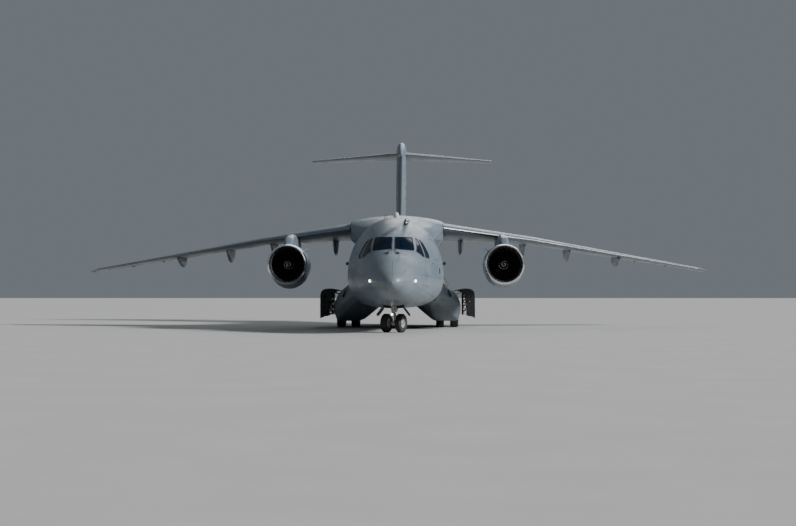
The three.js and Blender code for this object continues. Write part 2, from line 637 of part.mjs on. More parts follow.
// Nose gear door, hanging open and splayed from the edge of the bay
const NOSE_DOOR = { from: 2760, to: 4500, deep: 470, splay: 36, thick: 35 };
function noseDoor() {
  const lean = THREE.MathUtils.degToRad(NOSE_DOOR.splay);
  const edge = (s) => {
    const z = smooth(HULL, 4, s) + 120;
    const [dx, dz] = [Math.sin(lean) * NOSE_DOOR.deep, -Math.cos(lean) * NOSE_DOOR.deep - 120];
    const x = BAY.half - SEAT;
    const outer = [[x, z], [x, z - 140], [x + dx, z + dz]];
    const inner = outer.map(([a, b]) => [a - NOSE_DOOR.thick, b]).reverse();
    return [...outer, ...inner].map(([a, b]) => [a, station(s), b]);
  };
  return loft([NOSE_DOOR.from, NOSE_DOOR.to].map(edge));
}

// Engines: a long nacelle open at both ends, the fan with its spinner, the core and the pylon
const ENGINE = { x: 5400, z: 3250, lip: 9400 };
const DUCT_SIDES = 28;
// Nacelle outside and inside: station aft of the lip, radius
const NACELLE_OUT = [[0, 907], [60, 957], [250, 995], [700, 1015], [1500, 1022], [2700, 988], [4000, 868], [5450, 640]];
const NACELLE_IN = [[5450, 600], [4200, 760], [3000, 840], [1000, 824], [500, 815], [150, 845], [30, 885]];
const BULGE = 0.185; // how much deeper the nacelle is below its axis than above
function nacelle(grow = 0) {
  const inside = grow ? [[5450, 0]] : NACELLE_IN;
  const first = grow ? [[0, 0]] : [];
  const profile = [...first, ...NACELLE_OUT.map(([s, r]) => [s, r + grow]), ...inside];
  if (!grow) profile.push(profile[0]);
  const tube = turned(profile.map(([s, r]) => [r, s]), DUCT_SIDES);
  const belly = (p) => {
    const r = Math.hypot(p[0], p[2]);
    if (p[2] >= 0 || r < 900) return;
    const share = ease(clamp(p[1] / 1500)) * (1 - ease(clamp((p[1] - 2700) / 1500)));
    p[2] *= 1 + BULGE * share;
  };
  return tube.warp(belly).translate([ENGINE.x, station(ENGINE.lip), ENGINE.z]);
}
const FAN = { at: 950, tip: 806, hub: 265, blades: 20, back: 1299.5 };
// Blade sections: radius, chord, twist in degrees, half thickness
const BLADE = [
  [225, 125, 44, 15],
  [FAN.tip, 215, 50, 8],
];
function fan() {
  const spinner = turned(
    [[0, FAN.at - 430], [150, FAN.at - 290], [FAN.hub, FAN.at], [FAN.hub, FAN.at + 190], [90, FAN.at + 200],
      [90, FAN.back], [0, FAN.back]],
    TYRE_SIDES,
  );
  const section = ([r, chord, twist, t]) => {
    const a = THREE.MathUtils.degToRad(twist);
    const c = chord / 2;
    return [[-c, -t], [c, -t], [c, t], [-c, t]].map(([u, v]) => [
      u * Math.sin(a) + v * Math.cos(a),
      FAN.at + 95 + u * Math.cos(a) - v * Math.sin(a),
      r,
    ]);
  };
  const one = loft(BLADE.map(section));
  const all = Array.from({ length: FAN.blades }, (_, k) => one.rotate([0, (360 * k) / FAN.blades, 0]));
  return join(spinner, ...all);
}
function engineCore() {
  const from = FAN.back + 0.5;
  const body = turned(
    [[0, from], [130, from], [130, from + 90], [480, from + 240], [560, from + 600], [560, 3700], [420, 4700],
      [300, 4750], [210, 5150], [0, 5600]],
    TYRE_SIDES,
  );
  const stops = NACELLE_IN.filter(([s]) => s >= 500 && s <= 4200).reverse();
  const room = turned([[0, 500], ...stops.map(([s, r]) => [r - SEAT, s]), [0, 4200]], DUCT_SIDES);
  const vane = block(-30, 30, 1750, 2250, 0, 1000);
  const vanes = [0, 90, 180, 270].map((a) => vane.rotate([0, a, 0]).intersect(room));
  return join(body, ...vanes).translate([ENGINE.x, station(ENGINE.lip), ENGINE.z]);
}
const PYLON = { x: 5450, half: 275 };
// Outline in (station, z) and half of the plan in (distance out, station)
const PYLON_SIDE = [
  [10700, 4250], [11200, 4640], [12000, 4800], [13000, 4870], [14600, 4870], [16200, 4760], [17350, 4480],
  [17350, 4300], [15200, 3900], [14500, 3700], [12000, 4000],
];
const PYLON_PLAN = [[0, 10600], [200, 10900], [PYLON.half, 11400], [PYLON.half, 15500], [70, 17400]];
function pylon() {
  const side = prism(PYLON_SIDE.map(([s, z]) => [station(s), z]), "x", PYLON.x - PYLON.half, PYLON.x + PYLON.half);
  const port = PYLON_PLAN.map(([x, s]) => [PYLON.x + x, station(s)]);
  const starboard = PYLON_PLAN.slice(1).map(([x, s]) => [PYLON.x - x, station(s)]).reverse();
  const plan = prism([...port, ...starboard], "z", 3500, 5500);
  return side.intersect(plan).subtract(nacelle(SEAT)).subtract(wingBlank(SEAT));
}

// Flaps and ailerons: name, from x, to x, hinge share of the chord, drop of the hinge at each end, room at the
// inner end. The flaps swing on hinges at the foot of their track fairings, which carries them aft and down.
const CONTROLS = [
  ["inboard_flap", 2580, 7200, 0.74, 950, 731, 180],
  ["outboard_flap", 7390, 12620, 0.74, 815, 515, 190],
  ["aileron", 12720, 16500, 0.75, 0, 0, 24],
];
// Canoe fairings of the flap tracks: x, control index
const CANOES = [[3400, 0], [6820, 0], [9300, 1], [12100, 1]];
const TRACK_PIN = { radius: 18, half: 84, web: 26, slot: 44 };
const AILERON_STUBS = [66, 80];
const NOSE_ARC = [90, 45, 0, -45, -90]; // angles of a control surface's round nose, in degrees
// Centre, radius and trailing edge of a control surface at a place along its span
function hingeAt(rows, x, share, camber) {
  const [le, chord, zl, zt, thick] = [1, 2, 3, 4, 5].map((column) => straight(rows, column, x));
  return {
    s: le + chord * share,
    z: mix(zl, zt, share) + camber * chord * 4 * share * (1 - share),
    r: foil(share) * thick * chord * 0.97,
    end: le + chord,
    endZ: zt,
  };
}
function controlRing(rows, x, share, camber) {
  const { s, z, r, end, endZ } = hingeAt(rows, x, share, camber);
  const nose = NOSE_ARC.map((a) => {
    const t = THREE.MathUtils.degToRad(a);
    return [s - r * Math.cos(t), z + r * Math.sin(t)];
  });
  return [...nose, [end, endZ - 4], [end, endZ + 4]];
}
// The room a control surface takes out of the wing, in plan, through its whole depth
function controlRoom(rows, x0, x1, share, camber, gap) {
  const front = (x) => {
    const { s, r } = hingeAt(rows, x, share, camber);
    return station(s - r - gap);
  };
  const back = (x) => station(straight(rows, 1, x) + straight(rows, 2, x) + 300);
  return [[x0, front(x0)], [x1, front(x1)], [x1, back(x1)], [x0, back(x0)]];
}
const hingeEnd = (rows, x, share, camber, drop = 0) => {
  const { s, z } = hingeAt(rows, x, share, camber);
  return [x, station(s), z - drop];
};
const dropAt = (index, x) => {
  const [, x0, x1, , inner, outer] = CONTROLS[index];
  return mix(inner, outer, (x - x0) / (x1 - x0));
};
// Half of a canoe, as rounded rings along its length: from share 0 at the front to 1 at the tail
function canoe(x, control, front) {
  const { s, z: roof } = hingeAt(WING, x, CONTROLS[control][3], CAMBER);
  const deep = dropAt(control, x);
  const stops = front
    ? [[-1900, 0.3, 60], [-1300, 0.62, 120], [-600, 0.93, 150], [-100, 1, 150]]
    : [[-30, 1, 150], [500, 0.84, 130], [1100, 0.52, 95], [1650, 0.2, 35]];
  return loft(
    stops.map(([ds, depth, half]) => {
      const top = roof - (front ? (100 * -ds) / 1900 : (60 * Math.max(0, ds)) / 1650);
      const low = roof - deep * depth - 60;
      const right = [
        [half, top],
        [half, mix(top, low, 0.7)],
        [half * 0.55, low],
      ];
      const left = right.map(([dx, z]) => [-dx, z]).reverse();
      return [...right, ...left].map(([dx, z]) => [x + dx, station(s + ds), z]);
    }),
  );
}

const flapHinge = (index) => {
  const [, x0, x1, share] = CONTROLS[index];
  return [x0, x1].map((x) => hingeEnd(WING, x, share, CAMBER, dropAt(index, x)));
};
const wingBlank = (grow) =>
  loft([WING[0][0] + SEAT, 7300, 16900, SPAN / 2].map((x) => wingRing(WING, x, grow, CAMBER)));
function wing() {
  let body = wingBlank(0);
  for (const [, x0, x1, share, , , inner] of CONTROLS) {
    const room = controlRoom(WING, x0 - inner, x1 + 24, share, CAMBER, 25);
    body = body.subtract(prism(room, "z", 2500, 6500));
  }
  for (const [x, control] of CANOES) {
    const cove = hingeAt(WING, x, CONTROLS[control][3], CAMBER);
    // under the flap the fairing stays clear of the flap's round nose
    const y = station(cove.s - cove.r - 75);
    const room = block(x - 400, x + 400, y, y + 2000, cove.z - cove.r - 75, 7000);
    const [a, b] = flapHinge(control);
    const pin = hingeEnd(WING, x, CONTROLS[control][3], CAMBER, dropAt(control, x));
    const { radius, half, web } = TRACK_PIN;
    const middle = distance(a, pin);
    body = body
      .add(canoe(x, control, true).subtract(room))
      .add(block(x - web, x + web, pin[1] - 160, pin[1] + radius, pin[2] - radius, pin[2] + radius))
      .add(onLine(a, b, middle - half, middle + half, radius));
  }
  return body.add(stubs(...flapHinge(2), AILERON_STUBS));
}
function control(index) {
  const [, x0, x1, share] = CONTROLS[index];
  let body = loft([x0, x1].map((x) => controlRing(WING, x, share, CAMBER).map(([s, z]) => [x, station(s), z])));
  const [a, b] = flapHinge(index);
  if (index === 2) return body.subtract(stubs(a, b, AILERON_STUBS, HINGE_PLAY));
  for (const [x] of CANOES.filter(([, owner]) => owner === index)) {
    const pin = hingeEnd(WING, x, share, CAMBER, dropAt(index, x));
    const middle = distance(a, pin);
    const { radius, slot } = TRACK_PIN;
    body = body
      .add(canoe(x, index, false))
      .subtract(block(x - slot, x + slot, pin[1] - 80, pin[1] + 45, pin[2] - 200, pin[2] + 60))
      .subtract(onLine(a, b, middle - 200, middle + 200, radius + HINGE_PLAY));
  }
  return body;
}

// Tailplane with its elevators
const ELEVATOR = { from: 440, to: 5650, share: 0.7 };
const TAIL_CAMBER = 0;
const ELEVATOR_STUBS = [80, 80];
const elevatorHinge = [ELEVATOR.from, ELEVATOR.to].map((x) => hingeEnd(TAILPLANE, x, ELEVATOR.share, TAIL_CAMBER));
function tailplane(grow = 0) {
  const rings = [-5880, 0, 5880].map((x) =>
    wingRing(TAILPLANE, Math.abs(x), grow, TAIL_CAMBER).map(([, y, z]) => [x, y, z]),
  );
  const body = loft(rings);
  if (grow) return body;
  const room = controlRoom(TAILPLANE, ELEVATOR.from - 25, ELEVATOR.to + 25, ELEVATOR.share, TAIL_CAMBER, 22);
  const cut = prism(room, "z", 10000, 11400);
  const pins = stubs(...elevatorHinge, ELEVATOR_STUBS);
  return join(body.subtract(cut).subtract(cut.mirror([1, 0, 0])), pins, pins.mirror([1, 0, 0]));
}
function elevator() {
  const ring = (x) => controlRing(TAILPLANE, x, ELEVATOR.share, TAIL_CAMBER).map(([s, z]) => [x, station(s), z]);
  return loft([ELEVATOR.from, ELEVATOR.to].map(ring)).subtract(stubs(...elevatorHinge, ELEVATOR_STUBS, HINGE_PLAY));
}

// Fin with its tip fairing, and the rudder
const RUDDER = { low: 5700, high: 10080, share: 0.7 };
// Tip fairing: station, half width, top, foot
const TIP = [
  [29700, 30, 10660, 10560],
  [30000, 150, 10880, 10420],
  [30600, 250, 11150, 10330],
  [31400, 310, 11420, 10250],
  [32300, 325, 11560, 10220],
  [33200, 320, HEIGHT, 10260],
  [34200, 200, 11330, 10480],
  [35000, 60, 11020, 10820],
];
const RUDDER_STUBS = [90, 160];
const rudderHinge = [RUDDER.low, RUDDER.high].map((z) => {
  const { s } = hingeAt(FIN, z, RUDDER.share, 0);
  return [0, station(s), z];
});
const rudderRing = (z) => controlRing(FIN, z, RUDDER.share, 0).map(([s, x]) => [x, station(s), z]);
function fin() {
  const tip = loft(
    TIP.map(([s, half, top, foot]) =>
      Array.from({ length: 16 }, (_, k) => {
        const a = (Math.PI * k) / 8;
        return [half * Math.cos(a), station(s), mix(foot, top, 0.5 + 0.5 * Math.sin(a))];
      }),
    ),
  );
  const room = controlRoom(FIN, RUDDER.low - 50, RUDDER.high + 70, RUDDER.share, 0, 26);
  const cut = prism(room.map(([z, y]) => [y, z]), "x", -600, 600);
  const fillet = prism(
    [[22900, 5400], [27800, 5400], [27800, 7300], [26600, 6250], [24800, 5680]].map(([s, z]) => [station(s), z]),
    "x",
    -110,
    110,
  );
  const blade = loft([5200, 10500].map((z) => finRing(z, 0))).add(fillet).subtract(cut);
  return join(blade, tip, stubs(...rudderHinge, RUDDER_STUBS))
    .subtract(hull(22000, TAIL_END, -SEAT))
    .subtract(tailplane(SEAT));
}
const rudder = () =>
  loft([RUDDER.low, RUDDER.high].map(rudderRing)).subtract(stubs(...rudderHinge, RUDDER_STUBS, HINGE_PLAY));

// Fuselage and what is fixed in it
piece("radome", hull(0, BREAK_FRONT), "radome_paint");
piece("fuselage_front", fuselageFront(), "grey_paint");
piece(
  "fuselage_middle",
  hull(BREAK_CABIN + SEAT, BREAK_TAIL)
    .subtract(hull(BREAK_CABIN - 200, BREAK_TAIL + 200, WALL))
    .subtract(wingBox(SEAT)),
  "grey_paint",
);
piece("fuselage_tail", fuselageTail(), "grey_paint");
piece("wing_centre", wingCentre(), "grey_paint");
piece("cargo_floor", cargoFloor(), "cabin");
piece("flight_deck", flightDeck(), "cabin");
piece("instrument_panel", instrumentPanel(), "cabin");
piece("refuelling_probe", refuellingProbe(), "grey_paint");
piece("crew_door", crewDoor(), "grey_paint");
piece("cargo_ramp", cargoRamp(), "grey_paint");
piece("cargo_door", cargoDoor(), "grey_paint");
piece("fin", fin(), "grey_paint");
piece("rudder", rudder(), "grey_paint");
piece("tailplane", tailplane(), "grey_paint");

// Nose gear, the steered part in a group turned about the strut
piece("nose_gear_leg", noseLeg(), "white_paint");
const steered = new THREE.Group();
steered.position.set(0, station(NOSE_AXLE), NOSE_WHEEL.radius);
steered.rotation.z = STEERED;
plane.add(steered);
piece("nose_gear_strut", noseStrut(), "white_paint", steered);
piece("nose_wheels", wheelPair(NOSE_WHEEL), "rubber", steered);

const shell = paneShell();
const portWing = wing();
const portSponson = sponson();
const portPylon = pylon();
for (const [name, side] of SIDES) {
  piece(`windscreen_${name}`, shell.intersect(screenCut(side, PANE_FIT)), "glass");
  for (const [place, points] of SIDE_WINDOWS)
    piece(`side_window_${place}_${name}`, shell.intersect(sideCut(points, side, PANE_FIT)), "glass");
  piece(`pilot_seat_${name}`, pilotSeat(side), "cabin");
  piece(`sponson_${name}`, onSide(portSponson, side), "grey_paint");
  piece(`main_gear_door_${name}`, onSide(mainGearDoor(portSponson), side), "dark_grey_paint");
  for (const [place, s] of MAIN_AXLES) {
    const at = new THREE.Group();
    at.position.set(side * TRACK_X, station(s), MAIN_WHEEL.radius);
    plane.add(at);
    piece(`main_gear_leg_${place}_${name}`, mainLeg(), "white_paint", at);
    piece(`main_wheels_${place}_${name}`, wheelPair(MAIN_WHEEL), "rubber", at);
  }
  piece(`nose_gear_door_${name}`, onSide(noseDoor(), side), "grey_paint");
  piece(`nacelle_${name}`, onSide(nacelle(), side), "grey_paint");
  piece(`engine_core_${name}`, onSide(engineCore(), side), "dark_metal");
  const hub = new THREE.Group();
  hub.position.set(side * ENGINE.x, station(ENGINE.lip), ENGINE.z);
  plane.add(hub);
  piece(`fan_${name}`, fan(), "dark_metal", hub);
  piece(`pylon_${name}`, onSide(portPylon, side), "grey_paint");
  piece(`wing_${name}`, onSide(portWing, side), "grey_paint");
  CONTROLS.forEach(([part], index) => piece(`${part}_${name}`, onSide(control(index), side), "grey_paint"));
  piece(`elevator_${name}`, onSide(elevator(), side), "grey_paint");
}

export default plane;
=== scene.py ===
import math

import bmesh
import bpy
import numpy as np
from mathutils import Matrix, Vector


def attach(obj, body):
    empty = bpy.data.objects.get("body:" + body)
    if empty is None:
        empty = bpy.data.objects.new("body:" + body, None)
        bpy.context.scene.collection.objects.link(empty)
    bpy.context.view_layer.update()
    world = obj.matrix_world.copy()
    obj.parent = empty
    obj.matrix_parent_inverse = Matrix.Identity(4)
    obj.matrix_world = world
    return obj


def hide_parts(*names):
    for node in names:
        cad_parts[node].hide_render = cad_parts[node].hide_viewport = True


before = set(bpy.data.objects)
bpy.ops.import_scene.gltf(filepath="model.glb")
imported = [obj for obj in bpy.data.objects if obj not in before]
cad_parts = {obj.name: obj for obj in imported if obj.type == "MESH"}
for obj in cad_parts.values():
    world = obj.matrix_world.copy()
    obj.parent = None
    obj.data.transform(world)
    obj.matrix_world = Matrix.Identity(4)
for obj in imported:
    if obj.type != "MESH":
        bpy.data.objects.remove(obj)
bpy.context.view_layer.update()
scene = bpy.context.scene


# Camera, floor and light. The camera stands far ahead of the nose with a long lens, a little to port and
# at eye height. A pale matt floor carries the wheels, and soft light comes from high on the port side.
LENS, SENSOR = 69.33, 36.0
EYE = Vector((1.263, -84.1, 1.70))
LOOKING = Vector((-0.01517, 1.0, 0.0212))

camera_data = bpy.data.cameras.new("camera")
camera_data.lens, camera_data.sensor_width = LENS, SENSOR
camera_data.clip_end = 2000
camera = bpy.data.objects.new("camera", camera_data)
camera.location = EYE
camera.rotation_euler = LOOKING.to_track_quat("-Z", "Y").to_euler()
scene.collection.objects.link(camera)
scene.camera = camera


class Wire:
    """One socket of a node tree. Sums, products and powers of wires add the tree's Math nodes."""

    def __init__(self, tree, socket):
        self.tree, self.socket = tree, socket

    def math(self, operation, *values):
        return self.tree.node("ShaderNodeMath", {"operation": operation}, dict(enumerate(values)))

    def __add__(self, other):
        return self.math("ADD", self, other)

    def __sub__(self, other):
        return self.math("SUBTRACT", self, other)

    def __rsub__(self, other):
        return self.math("SUBTRACT", other, self)

    def __mul__(self, other):
        return self.math("MULTIPLY", self, other)

    def __truediv__(self, other):
        return self.math("DIVIDE", self, other)

    def __pow__(self, other):
        return self.math("POWER", self, other)

    __radd__, __rmul__ = __add__, __mul__

    def larger(self, other):
        return self.math("MAXIMUM", self, other)

    def size(self):
        return self.math("ABSOLUTE", self)

    def floor(self):
        return self.math("FLOOR", self)

    def fract(self):
        return self.math("FRACT", self)

    def ramp(self, start, end, low=0.0, high=1.0):
        """A smooth step from low to high while this wire goes from start to end."""
        values = {"Value": self, "From Min": start, "From Max": end, "To Min": low, "To Max": high}
        return self.tree.node("ShaderNodeMapRange", {"interpolation_type": "SMOOTHSTEP"}, values)

    def lines(self, pitch, width):
        """1 on lines of that width at every multiple of pitch, 0 between them."""
        return self.math("PINGPONG", self, pitch / 2).ramp(width * 0.5, width * 1.1, 1, 0)


class Tree:
    """A node tree that one method fills: a node's type, its settings, then its sockets' values or links."""

    def __init__(self, tree):
        self.tree = tree

    def node(self, kind, settings=None, sockets=None, out=0):
        made = self.tree.nodes.new(kind)
        for name, value in (settings or {}).items():
            setattr(made, name, value)
        for name, value in (sockets or {}).items():
            if isinstance(value, Wire):
                self.tree.links.new(value.socket, made.inputs[name])
            else:
                made.inputs[name].default_value = value
        return Wire(self, made.outputs[out])


class Finish(Tree):
    """A procedural material on Object coordinates. Constants go straight onto the shader's sockets."""

    def __init__(self, name, **constants):
        self.material = bpy.data.materials.new(name)
        self.material.use_nodes = True
        super().__init__(self.material.node_tree)
        self.shader = self.tree.nodes["Principled BSDF"]
        for key, value in constants.items():
            self.shader.inputs[key.replace("_", " ")].default_value = value
        self.place = self.node("ShaderNodeTexCoord", out="Object")
        self.x, self.y, self.z = (
            self.node("ShaderNodeSeparateXYZ", sockets={0: self.place}, out=axis) for axis in range(3)
        )

    def noise(self, scale, detail=3.0, stretch=(1, 1, 1)):
        stretched = self.node("ShaderNodeMapping", sockets={"Vector": self.place, "Scale": stretch})
        return self.node(
            "ShaderNodeTexNoise", sockets={"Vector": stretched, "Scale": scale, "Detail": detail},
        )

    def blend(self, share, first, second, way="MIX"):
        values = {0: share, 6: first, 7: second}
        for key in (6, 7):
            if not isinstance(values[key], Wire):
                values[key] = (*values[key], 1)
        return self.node("ShaderNodeMix", {"data_type": "RGBA", "blend_type": way}, values, out=2)

    def relief(self, height, depth, under=None):
        values = {"Height": height, "Distance": depth, "Strength": 1.0}
        if under:
            values["Normal"] = under
        return self.node("ShaderNodeBump", None, values)

    def wear(self, **wires):
        for key, wire in wires.items():
            self.tree.links.new(wire.socket, self.shader.inputs[key.replace("_", " ")])


FLOOR_SIZE = 900.0
FLOOR_COLOUR = (0.52, 0.52, 0.50)
floor_mesh = bpy.data.meshes.new("floor")
corners = [(x * FLOOR_SIZE, y * FLOOR_SIZE, 0) for x, y in ((-1, -1), (1, -1), (1, 1), (-1, 1))]
floor_mesh.from_pydata(corners, [], [(0, 1, 2, 3)])
floor = bpy.data.objects.new("floor", floor_mesh)
scene.collection.objects.link(floor)
floor_finish = Finish("floor", Roughness=0.9)
mottle = floor_finish.noise(0.5, 5).ramp(0.3, 0.7)
floor_finish.wear(Base_Color=floor_finish.blend(mottle, FLOOR_COLOUR, [c * 0.94 for c in FLOOR_COLOUR]))
floor.data.materials.append(floor_finish.material)

# Sun lamps: name, direction the light travels, strength, angle in degrees that softens its shadow
LAMPS = [
    ["key", (-0.92, 0.38, -0.50), 4.6, 9],
    ["fill", (0.75, 0.90, -0.35), 0.03, 50],
    ["rim", (-0.15, -0.90, -0.50), 0.5, 30],
]
for name, direction, strength, angle in LAMPS:
    lamp = bpy.data.lights.new(name, "SUN")
    lamp.energy, lamp.angle = strength, math.radians(angle)
    holder = bpy.data.objects.new(name, lamp)
    holder.rotation_euler = Vector(direction).to_track_quat("-Z", "Y").to_euler()
    scene.collection.objects.link(holder)

SKY, SKY_STRENGTH = (0.74, 0.83, 0.92, 1), 0.21
world = bpy.data.worlds.new("studio")
world.use_nodes = True
backdrop = world.node_tree.nodes["Background"]
backdrop.inputs["Color"].default_value = SKY
backdrop.inputs["Strength"].default_value = SKY_STRENGTH
scene.world = world


# Radome. A blunt glass-fibre cone bolted to the front frame, which hides the weather radar.
# It is moulded in one piece, painted a warmer grey, and carries thin metal lightning strips.
NOSE_Y = -17.6
BREAK_FRONT, BREAK_CABIN, BREAK_TAIL, TAIL_END = 1.25, 8.0, 21.0, 34.0
SEAT = 0.0004  # gap between two pieces that sit on each other
RING_STEPS = 144  # points round one ring of the fuselage
# Fuselage: station from the nose, half width, height of the widest place, top, bottom, roundness below
HULL = [
    [0.00, 0.045, 2.250, 2.295, 2.205, 2.00],
    [0.07, 0.220, 2.255, 2.450, 2.075, 2.00],
    [0.26, 0.440, 2.270, 2.640, 1.900, 2.00],
    [0.80, 0.790, 2.310, 2.995, 1.640, 2.05],
    [1.60, 1.130, 2.370, 3.400, 1.420, 2.10],
    [2.50, 1.410, 2.440, 3.770, 1.270, 2.20],
    [3.45, 1.610, 2.520, 4.340, 1.170, 2.30],
    [4.20, 1.735, 2.570, 4.680, 1.130, 2.40],
    [5.00, 1.870, 2.620, 4.970, 1.105, 2.50],
    [6.00, 2.050, 2.670, 5.235, 1.100, 2.60],
    [7.00, 2.200, 2.710, 5.410, 1.100, 2.70],
    [8.00, 2.300, 2.740, 5.490, 1.100, 2.80],
    [9.20, 2.360, 2.750, 5.520, 1.100, 2.80],
    [21.0, 2.360, 2.750, 5.520, 1.100, 2.80],
    [22.5, 2.355, 2.800, 5.520, 1.240, 2.80],
    [24.0, 2.300, 2.960, 5.520, 1.640, 2.70],
    [26.0, 2.120, 3.300, 5.510, 2.330, 2.60],
    [28.0, 1.830, 3.680, 5.480, 3.010, 2.50],
    [30.0, 1.420, 4.060, 5.420, 3.620, 2.40],
    [32.0, 0.930, 4.420, 5.310, 4.080, 2.20],
    [33.5, 0.540, 4.640, 5.170, 4.320, 2.00],
    [34.0, 0.330, 4.720, 5.050, 4.440, 2.00],
]


def station(s):
    return NOSE_Y + s


def stops(start, end, pitch):
    return np.linspace(start, end, max(2, round((end - start) / pitch) + 1))


def smooth(rows, at):
    """Every column of a table at the given places, on smooth curves without overshoot."""
    rows, at = np.array(rows, float), np.atleast_1d(np.array(at, float))
    places = rows[:, 0]
    step = np.diff(places)[:, None]
    slope = np.diff(rows, axis=0) / step
    product, total = slope[:-1] * slope[1:], slope[:-1] + slope[1:]
    inner = np.where(product > 0, 2 * product / np.where(product > 0, total, 1), 0)
    tangent = np.vstack([slope[:1], inner, slope[-1:]])
    k = np.clip(np.searchsorted(places, at, side="right") - 1, 0, len(places) - 2)
    t = np.clip((at - places[k]) / step[k, 0], 0, 1)[:, None]
    first = rows[k] * (1 + 2 * t) * (1 - t) ** 2 + tangent[k] * step[k] * t * (1 - t) ** 2
    return first + rows[k + 1] * t * t * (3 - 2 * t) + tangent[k + 1] * step[k] * t * t * (t - 1)


def unit(way):
    return way / np.linalg.norm(way)


def hull_rings(stations, inset=0.0):
    """Rings of points round the fuselage at some stations, drawn in from its skin by inset."""
    s, half, widest, top, low, lower = (column[:, None] for column in smooth(HULL, stations).T)
    angle = np.linspace(0, 2 * np.pi, RING_STEPS, endpoint=False)[None]
    cos, sin = np.cos(angle), np.sin(angle)
    power = np.where(sin < 0, 2 / lower, 1)
    reach = np.where(sin < 0, widest - low, top - widest) - inset
    x = (half - inset) * np.sign(cos) * np.abs(cos) ** power
    z = widest + reach * np.sign(sin) * np.abs(sin) ** power
    return np.stack([x, station(s) + 0 * x, z], axis=-1)


def side_at(s, z):
    """Half width of the fuselage at a station and height."""
    _, half, widest, top, low, lower = smooth(HULL, s)[0]
    power = lower if z < widest else 2
    share = (widest - z) / (widest - low) if z < widest else (z - widest) / (top - widest)
    return half * (1 - share**power) ** (1 / power)


def crown_at(s, x, below=False):
    """Height of the fuselage's skin over or under a place in its plan."""
    _, half, widest, top, low, lower = smooth(HULL, s)[0]
    power = lower if below else 2
    rise = (1 - (abs(x) / half) ** power) ** (1 / power)
    return widest - (widest - low) * rise if below else widest + (top - widest) * rise


def skin(name, rings, loop=False, kind=0):
    """A closed mesh over rings of points, capped at its ends unless it loops back to its first ring.
    kind is the number of its finish, or an array with one number for each quad."""
    rings = np.asarray(rings, float)
    count, around = rings.shape[:2]
    rows = count if loop else count - 1
    first = np.arange(rows)[:, None] * around
    second = (np.arange(rows)[:, None] + 1) % count * around
    k = np.arange(around)[None]
    after = (k + 1) % around
    quads = np.stack([first + k, first + after, second + after, second + k], axis=-1).reshape(-1, 4).tolist()
    kinds = np.broadcast_to(kind, (rows, around)).reshape(-1).tolist()
    if not loop:
        last = (count - 1) * around
        quads += [list(range(around))[::-1], list(range(last, last + around))]
        kinds += [kinds[0], kinds[-1]]
    mesh = bpy.data.meshes.new(name)
    mesh.from_pydata(rings.reshape(-1, 3).tolist(), [], quads)
    mesh.polygons.foreach_set("material_index", kinds)
    made = bpy.data.objects.new(name, mesh)
    scene.collection.objects.link(made)
    return outward(made)


def outward(piece):
    """Merges double points and turns every face outwards."""
    shape = bmesh.new()
    shape.from_mesh(piece.data)
    bmesh.ops.remove_doubles(shape, verts=shape.verts, dist=1e-6)
    bmesh.ops.recalc_face_normals(shape, faces=shape.faces)
    shape.to_mesh(piece.data)
    shape.free()
    return piece


def prism(name, outline, axis, low, high, kind=0):
    """An outline of (a, b) pulled along an axis, where a and b are the other two axes in order."""
    order = {"x": (2, 0, 1), "y": (0, 2, 1), "z": (0, 1, 2)}[axis]
    rings = [[[(a, b, depth)[k] for k in order] for a, b in outline] for depth in (low, high)]
    return skin(name, rings, kind=kind)


def rectangle(a0, a1, b0, b1):
    return [(a0, b0), (a1, b0), (a1, b1), (a0, b1)]


def block(name, x0, x1, y0, y1, z0, z1, kind=0):
    return prism(name, rectangle(x0, x1, y0, y1), "z", z0, z1, kind)


def hull_tool(start, end, pitch, inset=-SEAT, kind=0):
    """A length of the fuselage's own form, drawn in by inset, to cut other pieces with."""
    return skin("tool", hull_rings(stops(start, end, pitch), inset), kind=kind)


def turned(name, start, end, profile, around=32, loop=False, kind=0):
    """A profile of (distance along, radius) turned about the line from start towards end."""
    start, end = np.array(start, float), np.array(end, float)
    along = unit(end - start)
    side = unit(np.cross(along, (0, 0, 1) if abs(along[2]) < 0.9 else (1, 0, 0)))
    up = np.cross(side, along)
    angle = np.linspace(0, 2 * np.pi, around, endpoint=False)[:, None]
    spoke = np.cos(angle) * side + np.sin(angle) * up
    return skin(name, [start + along * d + max(r, 1e-7) * spoke for d, r in profile], loop, kind)


def rod(name, start, end, radius, around=20, kind=0):
    """A round bar between two points, with its rims eased."""
    length, ease = math.dist(start, end), min(radius * 0.2, 0.006)
    profile = [(0, 0), (0, radius - ease), (ease, radius)]
    profile += [(length - d, r) for d, r in profile[::-1]]
    return turned(name, start, end, profile, around, kind=kind)


def freeze(piece):
    """A piece's modifiers become its mesh."""
    bpy.context.view_layer.update()
    graph = bpy.context.evaluated_depsgraph_get()
    mesh = bpy.data.meshes.new_from_object(piece.evaluated_get(graph))
    piece.modifiers.clear()
    piece.data = mesh
    return piece


def carve(piece, *tools, way="DIFFERENCE"):
    """Cuts a piece with closed tools, or keeps what it shares with them, and clears the tools away."""
    for tool in tools:
        cut = piece.modifiers.new("cut", "BOOLEAN")
        cut.object, cut.operation, cut.solver = tool, way, "MANIFOLD"
    freeze(piece)
    if not piece.data.polygons:
        raise RuntimeError(f"{piece.name} was cut away")
    for tool in tools:
        bpy.data.objects.remove(tool)
    return piece


def joined(name, *pieces):
    """Several closed bodies as one piece."""
    shape = bmesh.new()
    for piece in pieces:
        shape.from_mesh(piece.data)
        bpy.data.objects.remove(piece)
    mesh = bpy.data.meshes.new(name)
    shape.to_mesh(mesh)
    shape.free()
    made = bpy.data.objects.new(name, mesh)
    scene.collection.objects.link(made)
    return made


